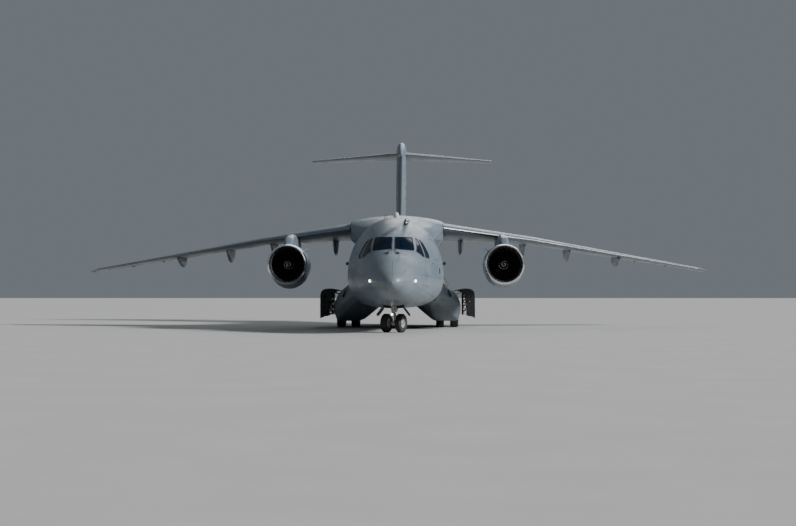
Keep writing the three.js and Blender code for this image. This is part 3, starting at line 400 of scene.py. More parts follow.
def soften(piece, width, segments=2):
    """Eases every sharp edge of a machined piece."""
    bevel = piece.modifiers.new("bevel", "BEVEL")
    bevel.width, bevel.segments = width, segments
    bevel.limit_method, bevel.angle_limit = "ANGLE", math.radians(35)
    bevel.use_clamp_overlap = True
    return freeze(piece)


def fit(piece, finishes, body, nodes=(), sharp=32):
    """Finishes a piece and fixes it to the body it moves with, in place of the CAD nodes it stands for."""
    kinds = [face.material_index for face in piece.data.polygons]
    piece.data.materials.clear()
    for finish in finishes:
        piece.data.materials.append(finish.material)
    piece.data.polygons.foreach_set("material_index", kinds)
    piece.data.shade_smooth()
    piece.data.set_sharp_from_angle(angle=math.radians(sharp))
    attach(piece, body)
    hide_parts(*nodes)
    return piece


PAINT = (0.150, 0.192, 0.232)
DUST = (0.24, 0.235, 0.22)
GRIME = (0.030, 0.031, 0.033)
PRIMER = (0.30, 0.32, 0.30)


def panels(made, along, over, long, wide, width=0.009, spread=1.0):
    """Skin panels laid like bricks: their joints, the rivets and the dirt beside the joints, and a tone for
    each panel. spread turns metres into the units of over, which may be an angle."""
    course = (over / wide).floor()
    shifted = along + course * (long / 2)
    joints = shifted.lines(long, width).larger(over.lines(wide, width * spread))
    heads = (shifted + 0.035).lines(long, 0.011) * over.lines(0.045 * spread, 0.010 * spread)
    heads = heads.larger((over + 0.035 * spread).lines(wide, 0.011 * spread) * along.lines(0.045, 0.010))
    dirt = shifted.lines(long, 0.16).larger(over.lines(wide, 0.16 * spread))
    number = course * 7.13 + (shifted / long).floor() * 3.71
    tone = made.node("ShaderNodeTexWhiteNoise", {"noise_dimensions": "1D"}, {"W": number})
    return joints, heads, dirt, tone


def paint(name, colour, lay, streak=(1, 1, 1), Roughness=0.36):
    """Satin aircraft paint. lay is a function of the finish that lays out its panels; streak stretches the
    grime along the airflow, and low_shade is painted shade that darkens what is low."""
    made = Finish(name, Roughness=Roughness, Coat_Roughness=0.35, Metallic=0.0)
    joints, heads, dirt, tone = lay(made)
    cloud = made.noise(0.55, 4).ramp(0.32, 0.68)
    fade = made.noise(3.5, 6, streak).ramp(0.42, 0.75)
    grime = made.noise(1.6, 8, streak).ramp(0.54, 0.80)
    # painted shade: the colour darkens towards the bottom, mottled by the cloud
    low_shade = made.z.ramp(0.7, 1.9, 1, 0) * (cloud * 0.3 + 0.3)
    chips = made.noise(34, 6).ramp(0.66, 0.70) * dirt
    base = made.blend(cloud * 0.5 + tone * 0.5, [c * 0.90 for c in colour], [c * 1.10 for c in colour])
    base = made.blend(fade * 0.16, base, DUST)
    base = made.blend(grime * (dirt * 0.35 + 0.25), base, GRIME)
    base = made.blend(low_shade, base, GRIME)
    base = made.blend(chips * 0.5, base, PRIMER)
    base = made.blend(joints * 0.62, base, GRIME)
    base = made.blend(heads * 0.30, base, GRIME)
    relief = made.relief(joints, -0.004)
    relief = made.relief(heads, 0.002, relief)
    relief = made.relief(made.noise(0.9, 2), 0.012, relief)
    made.wear(
        Base_Color=base, Roughness=fade * 0.10 + grime * 0.16 + tone * 0.06 + (Roughness - 0.06),
        Normal=relief,
    )
    return made


def round_body(made, height=2.75):
    """The angle round the fuselage's axis, in radians, the same on both sides."""
    return made.node("ShaderNodeMath", {"operation": "ARCTAN2"}, {0: made.z - height, 1: made.x.size()})


def radome_joint(made):
    """No panels: only the joint with the front frame, its bolts and the dirt that gathers there."""
    back = (made.y - station(BREAK_FRONT)).size()
    bolts = (back - 0.035).size().ramp(0.004, 0.009, 1, 0) * round_body(made, 2.33).lines(0.09, 0.012)
    return back.ramp(0.006, 0.014, 1, 0), bolts, back.ramp(0.05, 0.30, 1, 0), 0.5


radome_paint = paint("radome_paint", (0.172, 0.208, 0.238), radome_joint, Roughness=0.38)
tip_stations = BREAK_FRONT * np.linspace(0, 1, 40) ** 1.7
radome = skin("nose_radome", hull_rings(tip_stations))
fit(radome, [radome_paint], "airframe", ["radome"], sharp=50)

bright_metal = Finish("bright_metal", Metallic=1.0)
scuffs = bright_metal.noise(30, 8, (1, 0.2, 1)).ramp(0.3, 0.8)
bright_metal.wear(
    Base_Color=bright_metal.blend(scuffs, (0.60, 0.61, 0.62), (0.42, 0.43, 0.44)),
    Roughness=scuffs * 0.25 + 0.16,
)
# Lightning strips: angle round the radome in degrees, from and to station
STRIPS = [[90, 0.12, 1.20], [45, 0.22, 1.20], [135, 0.22, 1.20], [0, 0.22, 1.20], [180, 0.22, 1.20]]
STRIP_WIDTH, STRIP_PROUD = 0.012, 0.004


def strip(angle, start, end):
    """A thin strip lying along the radome."""
    along = stops(start, end, 0.05)
    step = round(angle / 360 * RING_STEPS) % RING_STEPS
    wide = [hull_rings(along, inset)[:, step] for inset in (-STRIP_PROUD, STRIP_PROUD)]
    across = np.cross(wide[0] - wide[1], (0, 1, 0))
    across /= np.linalg.norm(across, axis=1)[:, None] / (STRIP_WIDTH / 2)
    corners = [wide[0] - across, wide[0] + across, wide[1] + across, wide[1] - across]
    return skin("strip", np.stack(corners, axis=1))


strips = joined("lightning_strips", *[strip(*row) for row in STRIPS])
fit(strips, [bright_metal], "airframe")


# Fuselage nose. Aluminium skin on frames round the hollow cabin, with two windscreens, four side windows,
# an opening for the crew door on the port side and the bay of the nose landing gear in its belly.
WALL = 0.11
SHUT = 0.012  # gap round a shut door
WINDSCREEN = [[0.06, 3.800], [0.92, 3.735], [0.95, 3.790], [0.865, 4.330], [0.82, 4.375], [0.06, 4.375]]
SIDE_WINDOWS = [
    ["front", [[3.075, 3.690], [3.340, 3.470], [3.540, 3.440], [4.360, 4.310], [4.240, 4.330]]],
    ["rear", [[3.680, 3.425], [4.440, 3.420], [4.600, 3.560], [4.650, 4.250], [4.480, 4.290]]],
]
SCREEN_REACH, SIDE_REACH = (2.3, 4.7), (0.6, 2.1)
BAY = {"half": 0.50, "from": 2.75, "to": 4.95}
CREW_DOOR = {"from": 6.15, "to": 7.00, "low": 1.46, "high": 3.33}
CREW_CUT, CREW_LEAN_FROM = (0.9, 2.8), 1.65  # how far the door's cut reaches, and the x where its lean starts
SIDES = [["left", 1], ["right", -1]]


def scaled(outline, share):
    middle = np.mean(outline, axis=0)
    return middle + (np.array(outline) - middle) * share


def corner_bend(before, corner, after, radius):
    """The points of a rounded corner between two straight lines."""
    arms = [unit(end - corner) for end in (before, after)]
    reach = min(radius, *(np.linalg.norm(end - corner) / 2.2 for end in (before, after)))
    return [corner + arms[0] * reach * (1 - t) ** 2 + arms[1] * reach * t**2 for t in np.linspace(0, 1, 5)]


def rounded(outline, radius):
    """An outline with its corners rounded."""
    outline = np.array(outline, float)
    made = []
    for before, corner, after in zip(np.roll(outline, 1, 0), outline, np.roll(outline, -1, 0)):
        made += corner_bend(before, corner, after, radius)
    return made


def screen_tool(side, share=1.0, kind=0):
    outline = [(side * x, z) for x, z in rounded(scaled(WINDSCREEN, share), 0.05)]
    return prism("tool", outline, "y", *map(station, SCREEN_REACH), kind=kind)


def side_tool(points, side, share=1.0, kind=0):
    outline = [(station(s), z) for s, z in rounded(scaled(points, share), 0.06)]
    return prism("tool", outline, "x", side * SIDE_REACH[0], side * SIDE_REACH[1], kind=kind)


def crew_opening(grow, radius, kind=0):
    """The crew door's outline in the fuselage's side, square to the line of its hinge."""
    s0, s1 = CREW_DOOR["from"], CREW_DOOR["to"]
    z0, z1 = CREW_DOOR["low"] + SHUT, CREW_DOOR["high"] - SHUT
    lean = (side_at(s1, CREW_DOOR["low"]) - side_at(s0, CREW_DOOR["low"])) / (s1 - s0)
    outline = rounded(rectangle(s0 - grow, s1 + grow, z0 - grow, z1 + grow), radius)
    rings = [[(x, station(s) - lean * (x - CREW_LEAN_FROM), z) for s, z in outline] for x in CREW_CUT]
    return skin("tool", rings, kind=kind)


def hull_panels(made):
    return panels(made, made.y - 0.35, round_body(made) + 0.11, 1.96, 0.43, spread=0.42)


hull_paint = paint("fuselage_paint", PAINT, hull_panels, streak=(1, 0.12, 1))
cabin_trim = Finish("cabin_trim", Roughness=0.75)
# painted shade: the quilting's seams are darker, as its creases would be in shade
quilting = (cabin_trim.y.lines(0.26, 0.03)).larger(cabin_trim.z.lines(0.26, 0.03))
cabin_trim.wear(
    Base_Color=cabin_trim.blend(quilting * 0.5, (0.115, 0.125, 0.115), (0.05, 0.055, 0.05)),
    Normal=cabin_trim.relief(quilting, -0.02, cabin_trim.relief(cabin_trim.noise(60, 4), 0.002)),
)
edge_seal = Finish("edge_seal", Roughness=0.6)
grain = edge_seal.noise(140, 5)
edge_seal.wear(
    Base_Color=edge_seal.blend(grain, (0.012, 0.013, 0.015), (0.035, 0.036, 0.038)),
    Normal=edge_seal.relief(grain, 0.001),
)

HULL_FINISHES = [hull_paint, cabin_trim, edge_seal]
CABIN_FROM, BAY_ROOF = 1.7, 1.6
front = skin("nose_section", hull_rings(stops(BREAK_FRONT + SEAT, BREAK_CABIN, 0.07)))
tools = [hull_tool(CABIN_FROM, BREAK_CABIN + 0.2, 0.12, WALL, 1)]
bay = (-BAY["half"], BAY["half"], station(BAY["from"]), station(BAY["to"]), 0, BAY_ROOF)
tools += [block("tool", *bay, kind=2), crew_opening(SHUT, 0.09, kind=2)]
for _, side in SIDES:
    tools.append(screen_tool(side, kind=2))
    tools += [side_tool(points, side, kind=2) for _, points in SIDE_WINDOWS]
carve(front, *tools)
fit(front, HULL_FINISHES, "airframe", ["fuselage_front"])


# Windows. Each pane is a thick sheet of laminated glass let into the skin and held by a dark sealed frame.
# Two wipers lie parked beside the centre post of the windscreens.
PANE = {"outer": 0.014, "inner": 0.044, "fit": 0.9985}
PANE_RINGS, BEHIND_PANE = stops(2.2, 4.9, 0.045), (2.1, 5.0, 0.045)
FRAME_PROUD, FRAME_DEPTH = 0.003, 0.05
# Dark navy and nearly opaque: painted shade for the dark space behind the glass; smear is dirt on it
glass = Finish("cockpit_glass", IOR=1.18)
smear = glass.noise(2.2, 6, (1, 1, 0.4)).ramp(0.45, 0.8)
glass.wear(
    Base_Color=glass.blend(smear, (0.002, 0.008, 0.020), (0.006, 0.014, 0.026)),
    Roughness=smear * 0.10 + 0.06,
    Alpha=smear * 0.04 + 0.93,
)


def pane(name, tool):
    made = skin(name, hull_rings(PANE_RINGS, PANE["outer"]))
    carve(made, hull_tool(*BEHIND_PANE, PANE["inner"]))
    return carve(made, tool, way="INTERSECT")


def window_frame(outer, inner):
    made = skin("frame", hull_rings(PANE_RINGS, -FRAME_PROUD))
    carve(made, hull_tool(*BEHIND_PANE, FRAME_DEPTH))
    return carve(carve(made, outer, way="INTERSECT"), inner)


frames = []
for name, side in SIDES:
    screen = pane(f"windscreen_glass_{name}", screen_tool(side, PANE["fit"]))
    fit(screen, [glass], "airframe", [f"windscreen_{name}"])
    frames.append(window_frame(screen_tool(side, 1.035), screen_tool(side, 0.965)))
    for place, points in SIDE_WINDOWS:
        side_pane = pane(f"side_glass_{place}_{name}", side_tool(points, side, PANE["fit"]))
        fit(side_pane, [glass], "airframe", [f"side_window_{place}_{name}"])
        frames.append(window_frame(side_tool(points, side, 1.06), side_tool(points, side, 0.93)))
fit(joined("window_frames", *frames), [edge_seal], "airframe")

# Wipers: x of the motor's housing, and x and z of the arm's far end
WIPERS = [[0.20, 0.07, 3.76], [-0.28, -0.07, 3.76]]
WIPER_FOOT, WIPER_PROUD = 3.585, 0.035
# Housing of a wiper's motor: distance along, radius
WIPER_HOUSING = [(0, 0), (0.015, 0.028), (0.06, 0.044), (0.13, 0.046), (0.18, 0.030), (0.20, 0)]


def on_nose(x, z, proud=0.0):
    """The point of the fuselage's front at a place seen from ahead."""
    places = np.linspace(0.3, 5.0, 300)
    inside = [s for s in places if crown_at(s, min(abs(x), smooth(HULL, s)[0][1])) > z]
    return np.array((x, station(inside[0]) - proud, z + proud))


wipers = []
for foot_x, end_x, end_z in WIPERS:
    foot, end = on_nose(foot_x, WIPER_FOOT, WIPER_PROUD), on_nose(end_x, end_z, WIPER_PROUD)
    wipers.append(turned("housing", foot - (0.10, 0, 0.02), foot + (1, 0, 0), WIPER_HOUSING, 20))
    wipers.append(rod("arm", foot, end, 0.012, 10))
    wipers.append(rod("blade", end - (0, 0.02, 0.13), end + (0, 0.12, 0.32), 0.014, 8))
fit(joined("windscreen_wipers", *wipers), [edge_seal], "airframe")


# Flight deck. The floor, bulkhead, instrument panel and centre console are the plain solids themselves,
# in matt trim paint; the two pilots' seats are padded frames on a pedestal.
def kept(name, finish):
    """A solid that is right as it stands gets a finer finish."""
    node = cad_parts[name]
    node.data.materials.clear()
    node.data.materials.append(finish.material)


deck_paint = Finish("deck_paint", Roughness=0.7)
rubbed = deck_paint.noise(5, 7).ramp(0.45, 0.7)
deck_paint.wear(
    Base_Color=deck_paint.blend(rubbed, (0.10, 0.105, 0.105), (0.17, 0.175, 0.17)),
    Roughness=rubbed * 0.2 + 0.55,
    Normal=deck_paint.relief(deck_paint.noise(90, 5), 0.002),
)
kept("flight_deck", deck_paint)
panel_paint = Finish("panel_paint", Roughness=0.8)
speckle = panel_paint.noise(200, 4)
panel_paint.wear(
    Base_Color=panel_paint.blend(speckle, (0.018, 0.019, 0.021), (0.045, 0.046, 0.050)),
    Normal=panel_paint.relief(speckle, 0.001),
)
kept("instrument_panel", panel_paint)

DECK_Z = 2.58
SCREENS = {"count": 5, "wide": 0.20, "high": 0.24, "rim": 0.015, "pitch": 0.27, "s": 3.123, "z": 3.12}
display = Finish("display", Roughness=0.15, Emission_Strength=0.5)
bands = display.z.lines(0.035, 0.006).larger(display.x.lines(0.067, 0.004))
display.wear(
    Base_Color=display.blend(bands, (0.01, 0.014, 0.018), (0.05, 0.20, 0.16)),
    Emission_Color=display.blend(bands, (0.0, 0.002, 0.004), (0.03, 0.14, 0.12)),
)
screens = []
for k in range(SCREENS["count"]):
    x = (k - (SCREENS["count"] - 1) / 2) * SCREENS["pitch"]
    y, z = station(SCREENS["s"]), SCREENS["z"]
    half, tall, rim = SCREENS["wide"] / 2, SCREENS["high"] / 2, SCREENS["rim"]
    bezel = (x - half - rim, x + half + rim, y, y + 0.014, z - tall - rim, z + tall + rim)
    screens.append(block("bezel", *bezel, kind=1))
    screens.append(block("face", x - half, x + half, y + 0.010, y + 0.018, z - tall, z + tall))
fit(soften(joined("instrument_screens", *screens), 0.003), [display, panel_paint], "airframe")

fabric = Finish("seat_fabric", Roughness=0.9, Sheen_Weight=0.3)
weave = fabric.x.lines(0.008, 0.003) * fabric.z.lines(0.008, 0.003)
seams = fabric.x.lines(0.16, 0.008)
fabric.wear(
    Base_Color=fabric.blend(weave, (0.05, 0.06, 0.055), (0.10, 0.12, 0.11)),
    Normal=fabric.relief(seams, -0.008, fabric.relief(weave, 0.001)),
)


# Frame of a seat: half width, from and to station, foot and top
SEAT_FRAME = [
    [0.120, 3.950, 4.250, DECK_Z + SEAT, 2.840],
    [0.240, 3.840, 4.360, 2.830, 2.880],
    [0.235, 4.385, 4.430, 2.860, 3.740],
]
# Cushions: half width, from and to station, foot and top, swell, number of the axis that it swells along
CUSHIONS = [
    [0.23, 3.83, 4.330, 2.88, 2.99, 0.030, 2],
    [0.22, 4.31, 4.385, 3.00, 3.70, -0.025, 1],
    [0.13, 4.32, 4.385, 3.75, 3.94, -0.020, 1],
]
SEAT_X, ARMREST, PINCH = 0.56, {"x": 0.25, "half": 0.02}, 0.06


def cushion(x0, x1, y0, y1, z0, z1, crown, face):
    """A padded block that swells out of one face and pulls in between its corners."""
    made = block("cushion", x0, x1, y0, y1, z0, z1)
    low, high = np.array((x0, y0, z0)), np.array((x1, y1, z1))
    middle, half = (low + high) / 2, (high - low) / 2
    shape = bmesh.new()
    shape.from_mesh(made.data)
    bmesh.ops.subdivide_edges(shape, edges=shape.edges, cuts=7, use_grid_fill=True)
    others = [axis for axis in range(3) if axis != face]
    for vert in shape.verts:
        share = (np.array(vert.co) - middle) / half
        swell = np.prod([1 - share[axis] ** 2 for axis in others])
        vert.co[face] += crown * swell * (1 if share[face] > 0 else -0.2) * abs(share[face])
        for axis, other in (others, others[::-1]):
            vert.co[axis] -= PINCH * half[axis] * share[axis] * (1 - share[other] ** 2)
    shape.to_mesh(made.data)
    shape.free()
    return soften(made, 0.025, 3)


for name, side in SIDES:
    x, hard, pads = side * SEAT_X, [], []
    for half, s0, s1, *heights in SEAT_FRAME:
        hard.append(block("seat", x - half, x + half, station(s0), station(s1), *heights))
    for arm in (x - ARMREST["x"], x + ARMREST["x"]):
        ends = (arm - ARMREST["half"], arm + ARMREST["half"])
        hard.append(block("rest", *ends, station(4.0), station(4.36), 3.10, 3.14))
    hard.append(rod("stalk", (x, station(4.40), 3.70), (x, station(4.37), 3.92), 0.014))
    frame_piece = soften(joined(f"seat_frame_{name}", *hard), 0.008)
    fit(frame_piece, [panel_paint], "airframe", [f"pilot_seat_{name}"])
    for half, s0, s1, *shape in CUSHIONS:
        pads.append(cushion(x - half, x + half, station(s0), station(s1), *shape))
    padding = joined(f"seat_padding_{name}", *pads)
    fit(padding, [fabric], "airframe", sharp=60)


# Crew door. It hinges at its sill and swings down, so that the steps on its inner face become the stairs.
# Two knuckles on the door turn on a fixed pin that a bracket holds at each end.
CREW_STEPS = 5
door = skin("crew_door_panel", hull_rings(stops(5.9, 7.2, 0.05)))
carve(door, hull_tool(5.8, 7.3, 0.05, WALL, 1))
carve(door, crew_opening(-0.001, 0.08, kind=2), way="INTERSECT")
hinge = []
for s in (CREW_DOOR["from"], CREW_DOOR["to"]):
    hinge.append(np.array((side_at(s, CREW_DOOR["low"]) + 0.024, station(s), CREW_DOOR["low"] - 0.02)))
along = unit(hinge[1] - hinge[0])


def on_door(share, z, inset):
    """A point on the door's inner face, by its share of the door's length and its height."""
    s = CREW_DOOR["from"] + share * (CREW_DOOR["to"] - CREW_DOOR["from"])
    return np.array((side_at(s, z) - WALL - inset, station(s), z))


steps = []
for z in np.linspace(CREW_DOOR["low"] + 0.26, CREW_DOOR["high"] - 0.33, CREW_STEPS):
    a, b = on_door(0.106, z, -0.03), on_door(0.894, z, -0.03)
    tread = [(a[0] - 0.21, a[1]), (a[0], a[1]), (b[0], b[1]), (b[0] - 0.21, b[1])]
    steps.append(soften(prism("tread", tread, "z", z, z + 0.035), 0.006))
    for k in range(8):
        inwards = (-0.02 - 0.022 * k, 0, 0.037)
        steps.append(rod("grip", a + inwards + (0, 0.03, 0), b + inwards - (0, 0.03, 0), 0.004, 6))
knuckles = []
for share in (0.25, 0.75):
    middle = hinge[0] + (hinge[1] - hinge[0]) * share
    barrel = [(0, 0.0105), (0, 0.020), (0.07, 0.020), (0.07, 0.0105)]
    knuckles.append(turned("barrel", middle - along * 0.035, middle, barrel, 20, loop=True))
    knuckles.append(rod("arm", middle + (0, 0, 0.012), middle + (-0.004, 0, 0.075), 0.009, 12))
door = joined("crew_door_panel", door, *knuckles)
fit(door, HULL_FINISHES, "crew_door", ["crew_door"])
fit(joined("crew_door_steps", *steps), [bright_metal], "crew_door")
pin = [rod("pin", hinge[0] - along * 0.066, hinge[1] + along * 0.066, 0.010, 16)]
for end, y in zip(hinge, (-0.05, 0.05)):
    pin.append(rod("bracket", end + (0, y, 0), end + (-0.08, y, 0.06), 0.016, 12))
fit(joined("crew_door_hinge", *pin), [bright_metal], "airframe")


# Middle fuselage. A straight barrel of ring frames round the cargo hold. A long fairing over its crown
# covers the box that joins the two wings, and a door for parachutists is let into each side behind them.
FLOOR_Z = 1.45
WING_BOX = {"from": 13.5, "to": 17.9, "low": 4.56, "high": 5.56, "half": 2.4}
JUMP_DOOR = {"from": 18.55, "to": 19.50, "low": 1.62, "high": 3.55}
FRAME_PITCH, FRAME_DEEP, FRAME_THICK, GROOVE_DEPTH = 0.62, 0.07, 0.035, 0.012


def outline_groove(outline, gap, side):
    """A thin ring of the shape of a shut panel's joint, to be cut shallowly into the fuselage's side."""
    outer = prism("groove", rounded(scaled(outline, 1 + gap), 0.12), "x", side * 1.8, side * 2.9, kind=2)
    return carve(outer, prism("tool", rounded(outline, 0.11), "x", side * 1.7, side * 3.0))


middle = skin("middle_section", hull_rings(stops(BREAK_CABIN + SEAT, BREAK_TAIL, 0.18)))
box = [-WING_BOX["half"], WING_BOX["half"], station(WING_BOX["from"]), station(WING_BOX["to"])]
box += [WING_BOX["low"], WING_BOX["high"]]
hold = hull_tool(BREAK_CABIN - 0.2, BREAK_TAIL + 0.2, 0.25, WALL, 1)
carve(middle, hold, block("tool", *box, kind=1))
jump = rectangle(station(JUMP_DOOR["from"]), station(JUMP_DOOR["to"]), JUMP_DOOR["low"], JUMP_DOOR["high"])
for _, side in SIDES:
    groove = outline_groove(jump, 0.022, side)
    carve(groove, hull_tool(18.0, 20.0, 0.18, GROOVE_DEPTH))
    carve(middle, groove)
fit(middle, HULL_FINISHES, "airframe", ["fuselage_middle"])

frames = []
for s in np.arange(BREAK_CABIN + 0.4, BREAK_TAIL - 0.2, FRAME_PITCH):
    if WING_BOX["from"] - 0.2 < s < WING_BOX["to"] + 0.2:
        continue
    section = rectangle(0, FRAME_THICK, -0.004, FRAME_DEEP)
    ring = [hull_rings([s + ds], WALL + inset)[0] for ds, inset in section]
    frames.append(skin("ring_frame", ring, loop=True))
ring_frames = joined("hold_ring_frames", *frames)
carve(ring_frames, block("tool", -3, 3, -12, 12, 0, FLOOR_Z + 0.001))
fit(ring_frames, [cabin_trim], "airframe")

# Wing fairing: station, half width, height of its shoulder, height of its top
FAIRING = [
    [10.2, 1.30, 5.000, 5.380],
    [11.5, 1.90, 5.130, 5.640],
    [12.5, 2.37, 5.380, 5.810],
    [13.3, 2.40, 5.500, 5.870],
    [18.7, 2.40, 5.240, 5.850],
    [20.4, 2.15, 5.000, 5.720],
    [22.6, 1.30, 4.950, 5.420],
]
FAIRING_FOOT, FAIRING_FILLET, FAIRING_BEND = 4.56, 0.42, 1.33


def fairing_ring(s):
    """The fairing's section: a sloping foot, upright sides and a low crown."""
    _, half, shoulder, top = smooth(FAIRING, s)[0]
    angle = np.linspace(0, np.pi / 2, 17)
    over, up = np.cos(angle) ** FAIRING_BEND, np.sin(angle) ** FAIRING_BEND
    right = [
        (half * 0.8, FAIRING_FOOT - FAIRING_FILLET), (half, FAIRING_FOOT),
        (half, (FAIRING_FOOT + shoulder) / 2),
    ]
    right += zip(half * over, shoulder + (top - shoulder) * up)
    left = [(-x, z) for x, z in right[-2::-1]]
    return [(x, station(s), z) for x, z in right + left]


fairing = skin("wing_fairing", [fairing_ring(s) for s in stops(10.2, 22.6, 0.15)])
carve(fairing, hull_tool(BREAK_CABIN, 24.5, 0.18))
INSIDE, BOX_CROWN = 0.001, 5.22  # keeps the wing box just within the fairing's sides and crown
box[:2] = INSIDE - WING_BOX["half"], WING_BOX["half"] - INSIDE
box[5] = BOX_CROWN
carve(fairing, block("box", *box, kind=1), way="UNION")
fit(fairing, [hull_paint, cabin_trim], "airframe", ["wing_centre"])


# Cargo floor. The solid itself, in grey non-slip paint, with four rows of rollers between guide rails. Each
# row repeats one roller, by a recipe that other rows and rings of like parts use too.
floor_paint = Finish("cargo_floor_paint", Roughness=0.75)
rails = floor_paint.x.size().lines(0.508, 0.03)
scratches = floor_paint.noise(9, 8, (1, 0.1, 1)).ramp(0.5, 0.75)
walked = floor_paint.blend(rails, (0.085, 0.09, 0.09), (0.04, 0.042, 0.045))
floor_paint.wear(
    Base_Color=floor_paint.blend(scratches * 0.6, walked, (0.30, 0.30, 0.29)),
    Roughness=scratches * -0.25 + 0.75,
    Normal=floor_paint.relief(floor_paint.noise(120, 3), 0.002),
)
kept("cargo_floor", floor_paint)


class Recipe(Tree):
    """A Geometry Nodes tree that takes a part and gives back its repeats as one plain mesh."""

    def __init__(self, name, inputs):
        super().__init__(bpy.data.node_groups.new(name, "GeometryNodeTree"))
        face = self.tree.interface
        face.new_socket("Part", in_out="INPUT", socket_type="NodeSocketGeometry")
        self.sockets = {}
        for label, kind in {**inputs, "Material": "Material"}.items():
            self.sockets[label] = face.new_socket(label, in_out="INPUT", socket_type=f"NodeSocket{kind}")
        face.new_socket("Repeats", in_out="OUTPUT", socket_type="NodeSocketGeometry")
        given = self.tree.nodes.new("NodeGroupInput")
        self.given = {socket.name: Wire(self, socket) for socket in given.outputs if socket.name}

    def end(self, instances):
        """Makes the instances real and gives them their finish."""
        real = self.node("GeometryNodeRealizeInstances", None, {0: instances})
        painted = self.node("GeometryNodeSetMaterial", None, {0: real, "Material": self.given["Material"]})
        result = self.tree.nodes.new("NodeGroupOutput")
        self.tree.links.new(painted.socket, result.inputs[0])

    def copies(self):
        """The part as one instance, doubled to the number of repeats, and the number of each."""
        whole = self.node("GeometryNodeGeometryToInstance", None, {0: self.given["Part"]})
        settings, values = {"domain": "INSTANCE"}, {0: whole, "Amount": self.given["Count"]}
        doubled = self.node("GeometryNodeDuplicateElements", settings, values)
        index = self.node("GeometryNodeInputIndex")
        return doubled, index

    def serve(self, piece, finish, kind=0, **values):
        """Runs the recipe on a piece. Each input is set by its socket before the piece is evaluated. kind is
        the number of its finish in the piece that it becomes a part of."""
        modifier = piece.modifiers.new("repeats", "NODES")
        modifier.node_group = self.tree
        for label, value in {"Material": finish.material, **values}.items():
            modifier[self.sockets[label].identifier] = value
        freeze(piece).data.polygons.foreach_set("material_index", [kind] * len(piece.data.polygons))
        return piece


row_recipe = Recipe("row_of_parts", {"Count": "Int", "Step": "Vector"})
doubled, index = row_recipe.copies()
values = {0: row_recipe.given["Step"], "Scale": index}
shift = row_recipe.node("ShaderNodeVectorMath", {"operation": "SCALE"}, values)
values = {0: doubled, "Translation": shift, "Local Space": False}
row_recipe.end(row_recipe.node("GeometryNodeTranslateInstances", None, values))

ring_recipe = Recipe("ring_of_parts", {"Count": "Int", "Centre": "Vector", "Axis": "Vector"})
doubled, index = ring_recipe.copies()
turn = index * 2 * math.pi / ring_recipe.given["Count"]
values = {"Axis": ring_recipe.given["Axis"], "Angle": turn}
turn = ring_recipe.node("FunctionNodeAxisAngleToRotation", None, values)
values = {0: doubled, "Rotation": turn, "Pivot Point": ring_recipe.given["Centre"], "Local Space": False}
ring_recipe.end(ring_recipe.node("GeometryNodeRotateInstances", None, values))

ROLLER_ROWS, ROLLER_PITCH, ROLLER_FROM, ROLLER_TO = (-1.05, -0.42, 0.42, 1.05), 0.22, 8.6, 21.0
rollers = []
for x in ROLLER_ROWS:
    y, z = station(ROLLER_FROM), FLOOR_Z + 0.022
    row = rod("roller", (x - 0.04, y, z), (x + 0.04, y, z), 0.019, 8)
    count = round((ROLLER_TO - ROLLER_FROM) / ROLLER_PITCH)
    rollers.append(row_recipe.serve(row, bright_metal, Count=count, Step=(0, ROLLER_PITCH, 0)))
    for edge in (x - 0.055, x + 0.045):
        ends = station(ROLLER_FROM - 0.1), station(ROLLER_TO)
        rollers.append(block("rail", edge, edge + 0.01, *ends, FLOOR_Z - 0.002, FLOOR_Z + 0.035))
fit(joined("cargo_rollers", *rollers), [bright_metal], "airframe")


# Rear fuselage. The belly sweeps up to the tail, and the ramp and the door behind it are cut from it. The
# faces where they meet lean forwards, so that either can swing past the other.
RAMP = {"from": 21.3, "to": 25.5, "half": 1.56, "hinge": 1.085}
DOOR = {"from": 25.53, "to": 29.7, "front": 1.5, "rear": 0.98, "hinge": 3.81}
MEET = {"low": 2.15, "top": 2.56, "lean": 0.42}
TAIL_PIN = {"radius": 0.012, "fixed": 0.021, "moving": 0.024, "half": 0.44}
HINGE_PLAY = 0.00095


def ramp_tool(grow):
    outline = [
        (station(RAMP["from"] - grow), 0.8),
        (station(RAMP["from"] - grow), FLOOR_Z + grow),
        (station(22.0), FLOOR_Z + 0.06 + grow),
        (station(RAMP["to"] - MEET["lean"] * (MEET["top"] - MEET["low"]) + grow), MEET["top"] + grow),
        (station(RAMP["to"] + MEET["lean"] * (MEET["low"] - 0.8) + grow), 0.8),
    ]
    return prism("tool", outline, "x", -RAMP["half"] - grow, RAMP["half"] + grow, 2)


def door_tool(grow, kind=2):
    outline = [
        (station(DOOR["from"] + MEET["lean"] * (MEET["low"] - 1.7) - grow), 1.7),
        (station(DOOR["from"] - MEET["lean"] * (2.44 - MEET["low"]) - grow), 2.44 + grow),
        (station(DOOR["to"] + grow), DOOR["hinge"] + grow),
        (station(DOOR["to"] + grow), 1.7),
    ]
    front, rear = DOOR["front"] + grow, DOOR["rear"] + grow
    y0, y1 = station(DOOR["from"] - 0.4), station(DOOR["to"] + 0.1)
    plan = prism("plan", [(-front, y0), (front, y0), (rear, y1), (-rear, y1)], "z", 1.5, 4.5, kind)
    return carve(prism("tool", outline, "x", -2, 2, kind), plan, way="INTERSECT")


def tail_hinge(s, z, foot):
    """A fixed pin across the tail with a bracket at each end, whose foot lies at (dy, dz) from the pin."""
    ends = [np.array((side * TAIL_PIN["half"], station(s), z)) for side in (-1, 1)]
    made = [rod("pin", *ends, TAIL_PIN["radius"], 16)]
    for end in ends:
        made.append(rod("bracket", end, end + (0, *foot), TAIL_PIN["fixed"] - 0.004, 12))
        made.append(rod("boss", end - (0.03, 0, 0), end + (0.03, 0, 0), TAIL_PIN["fixed"], 16))
    return made


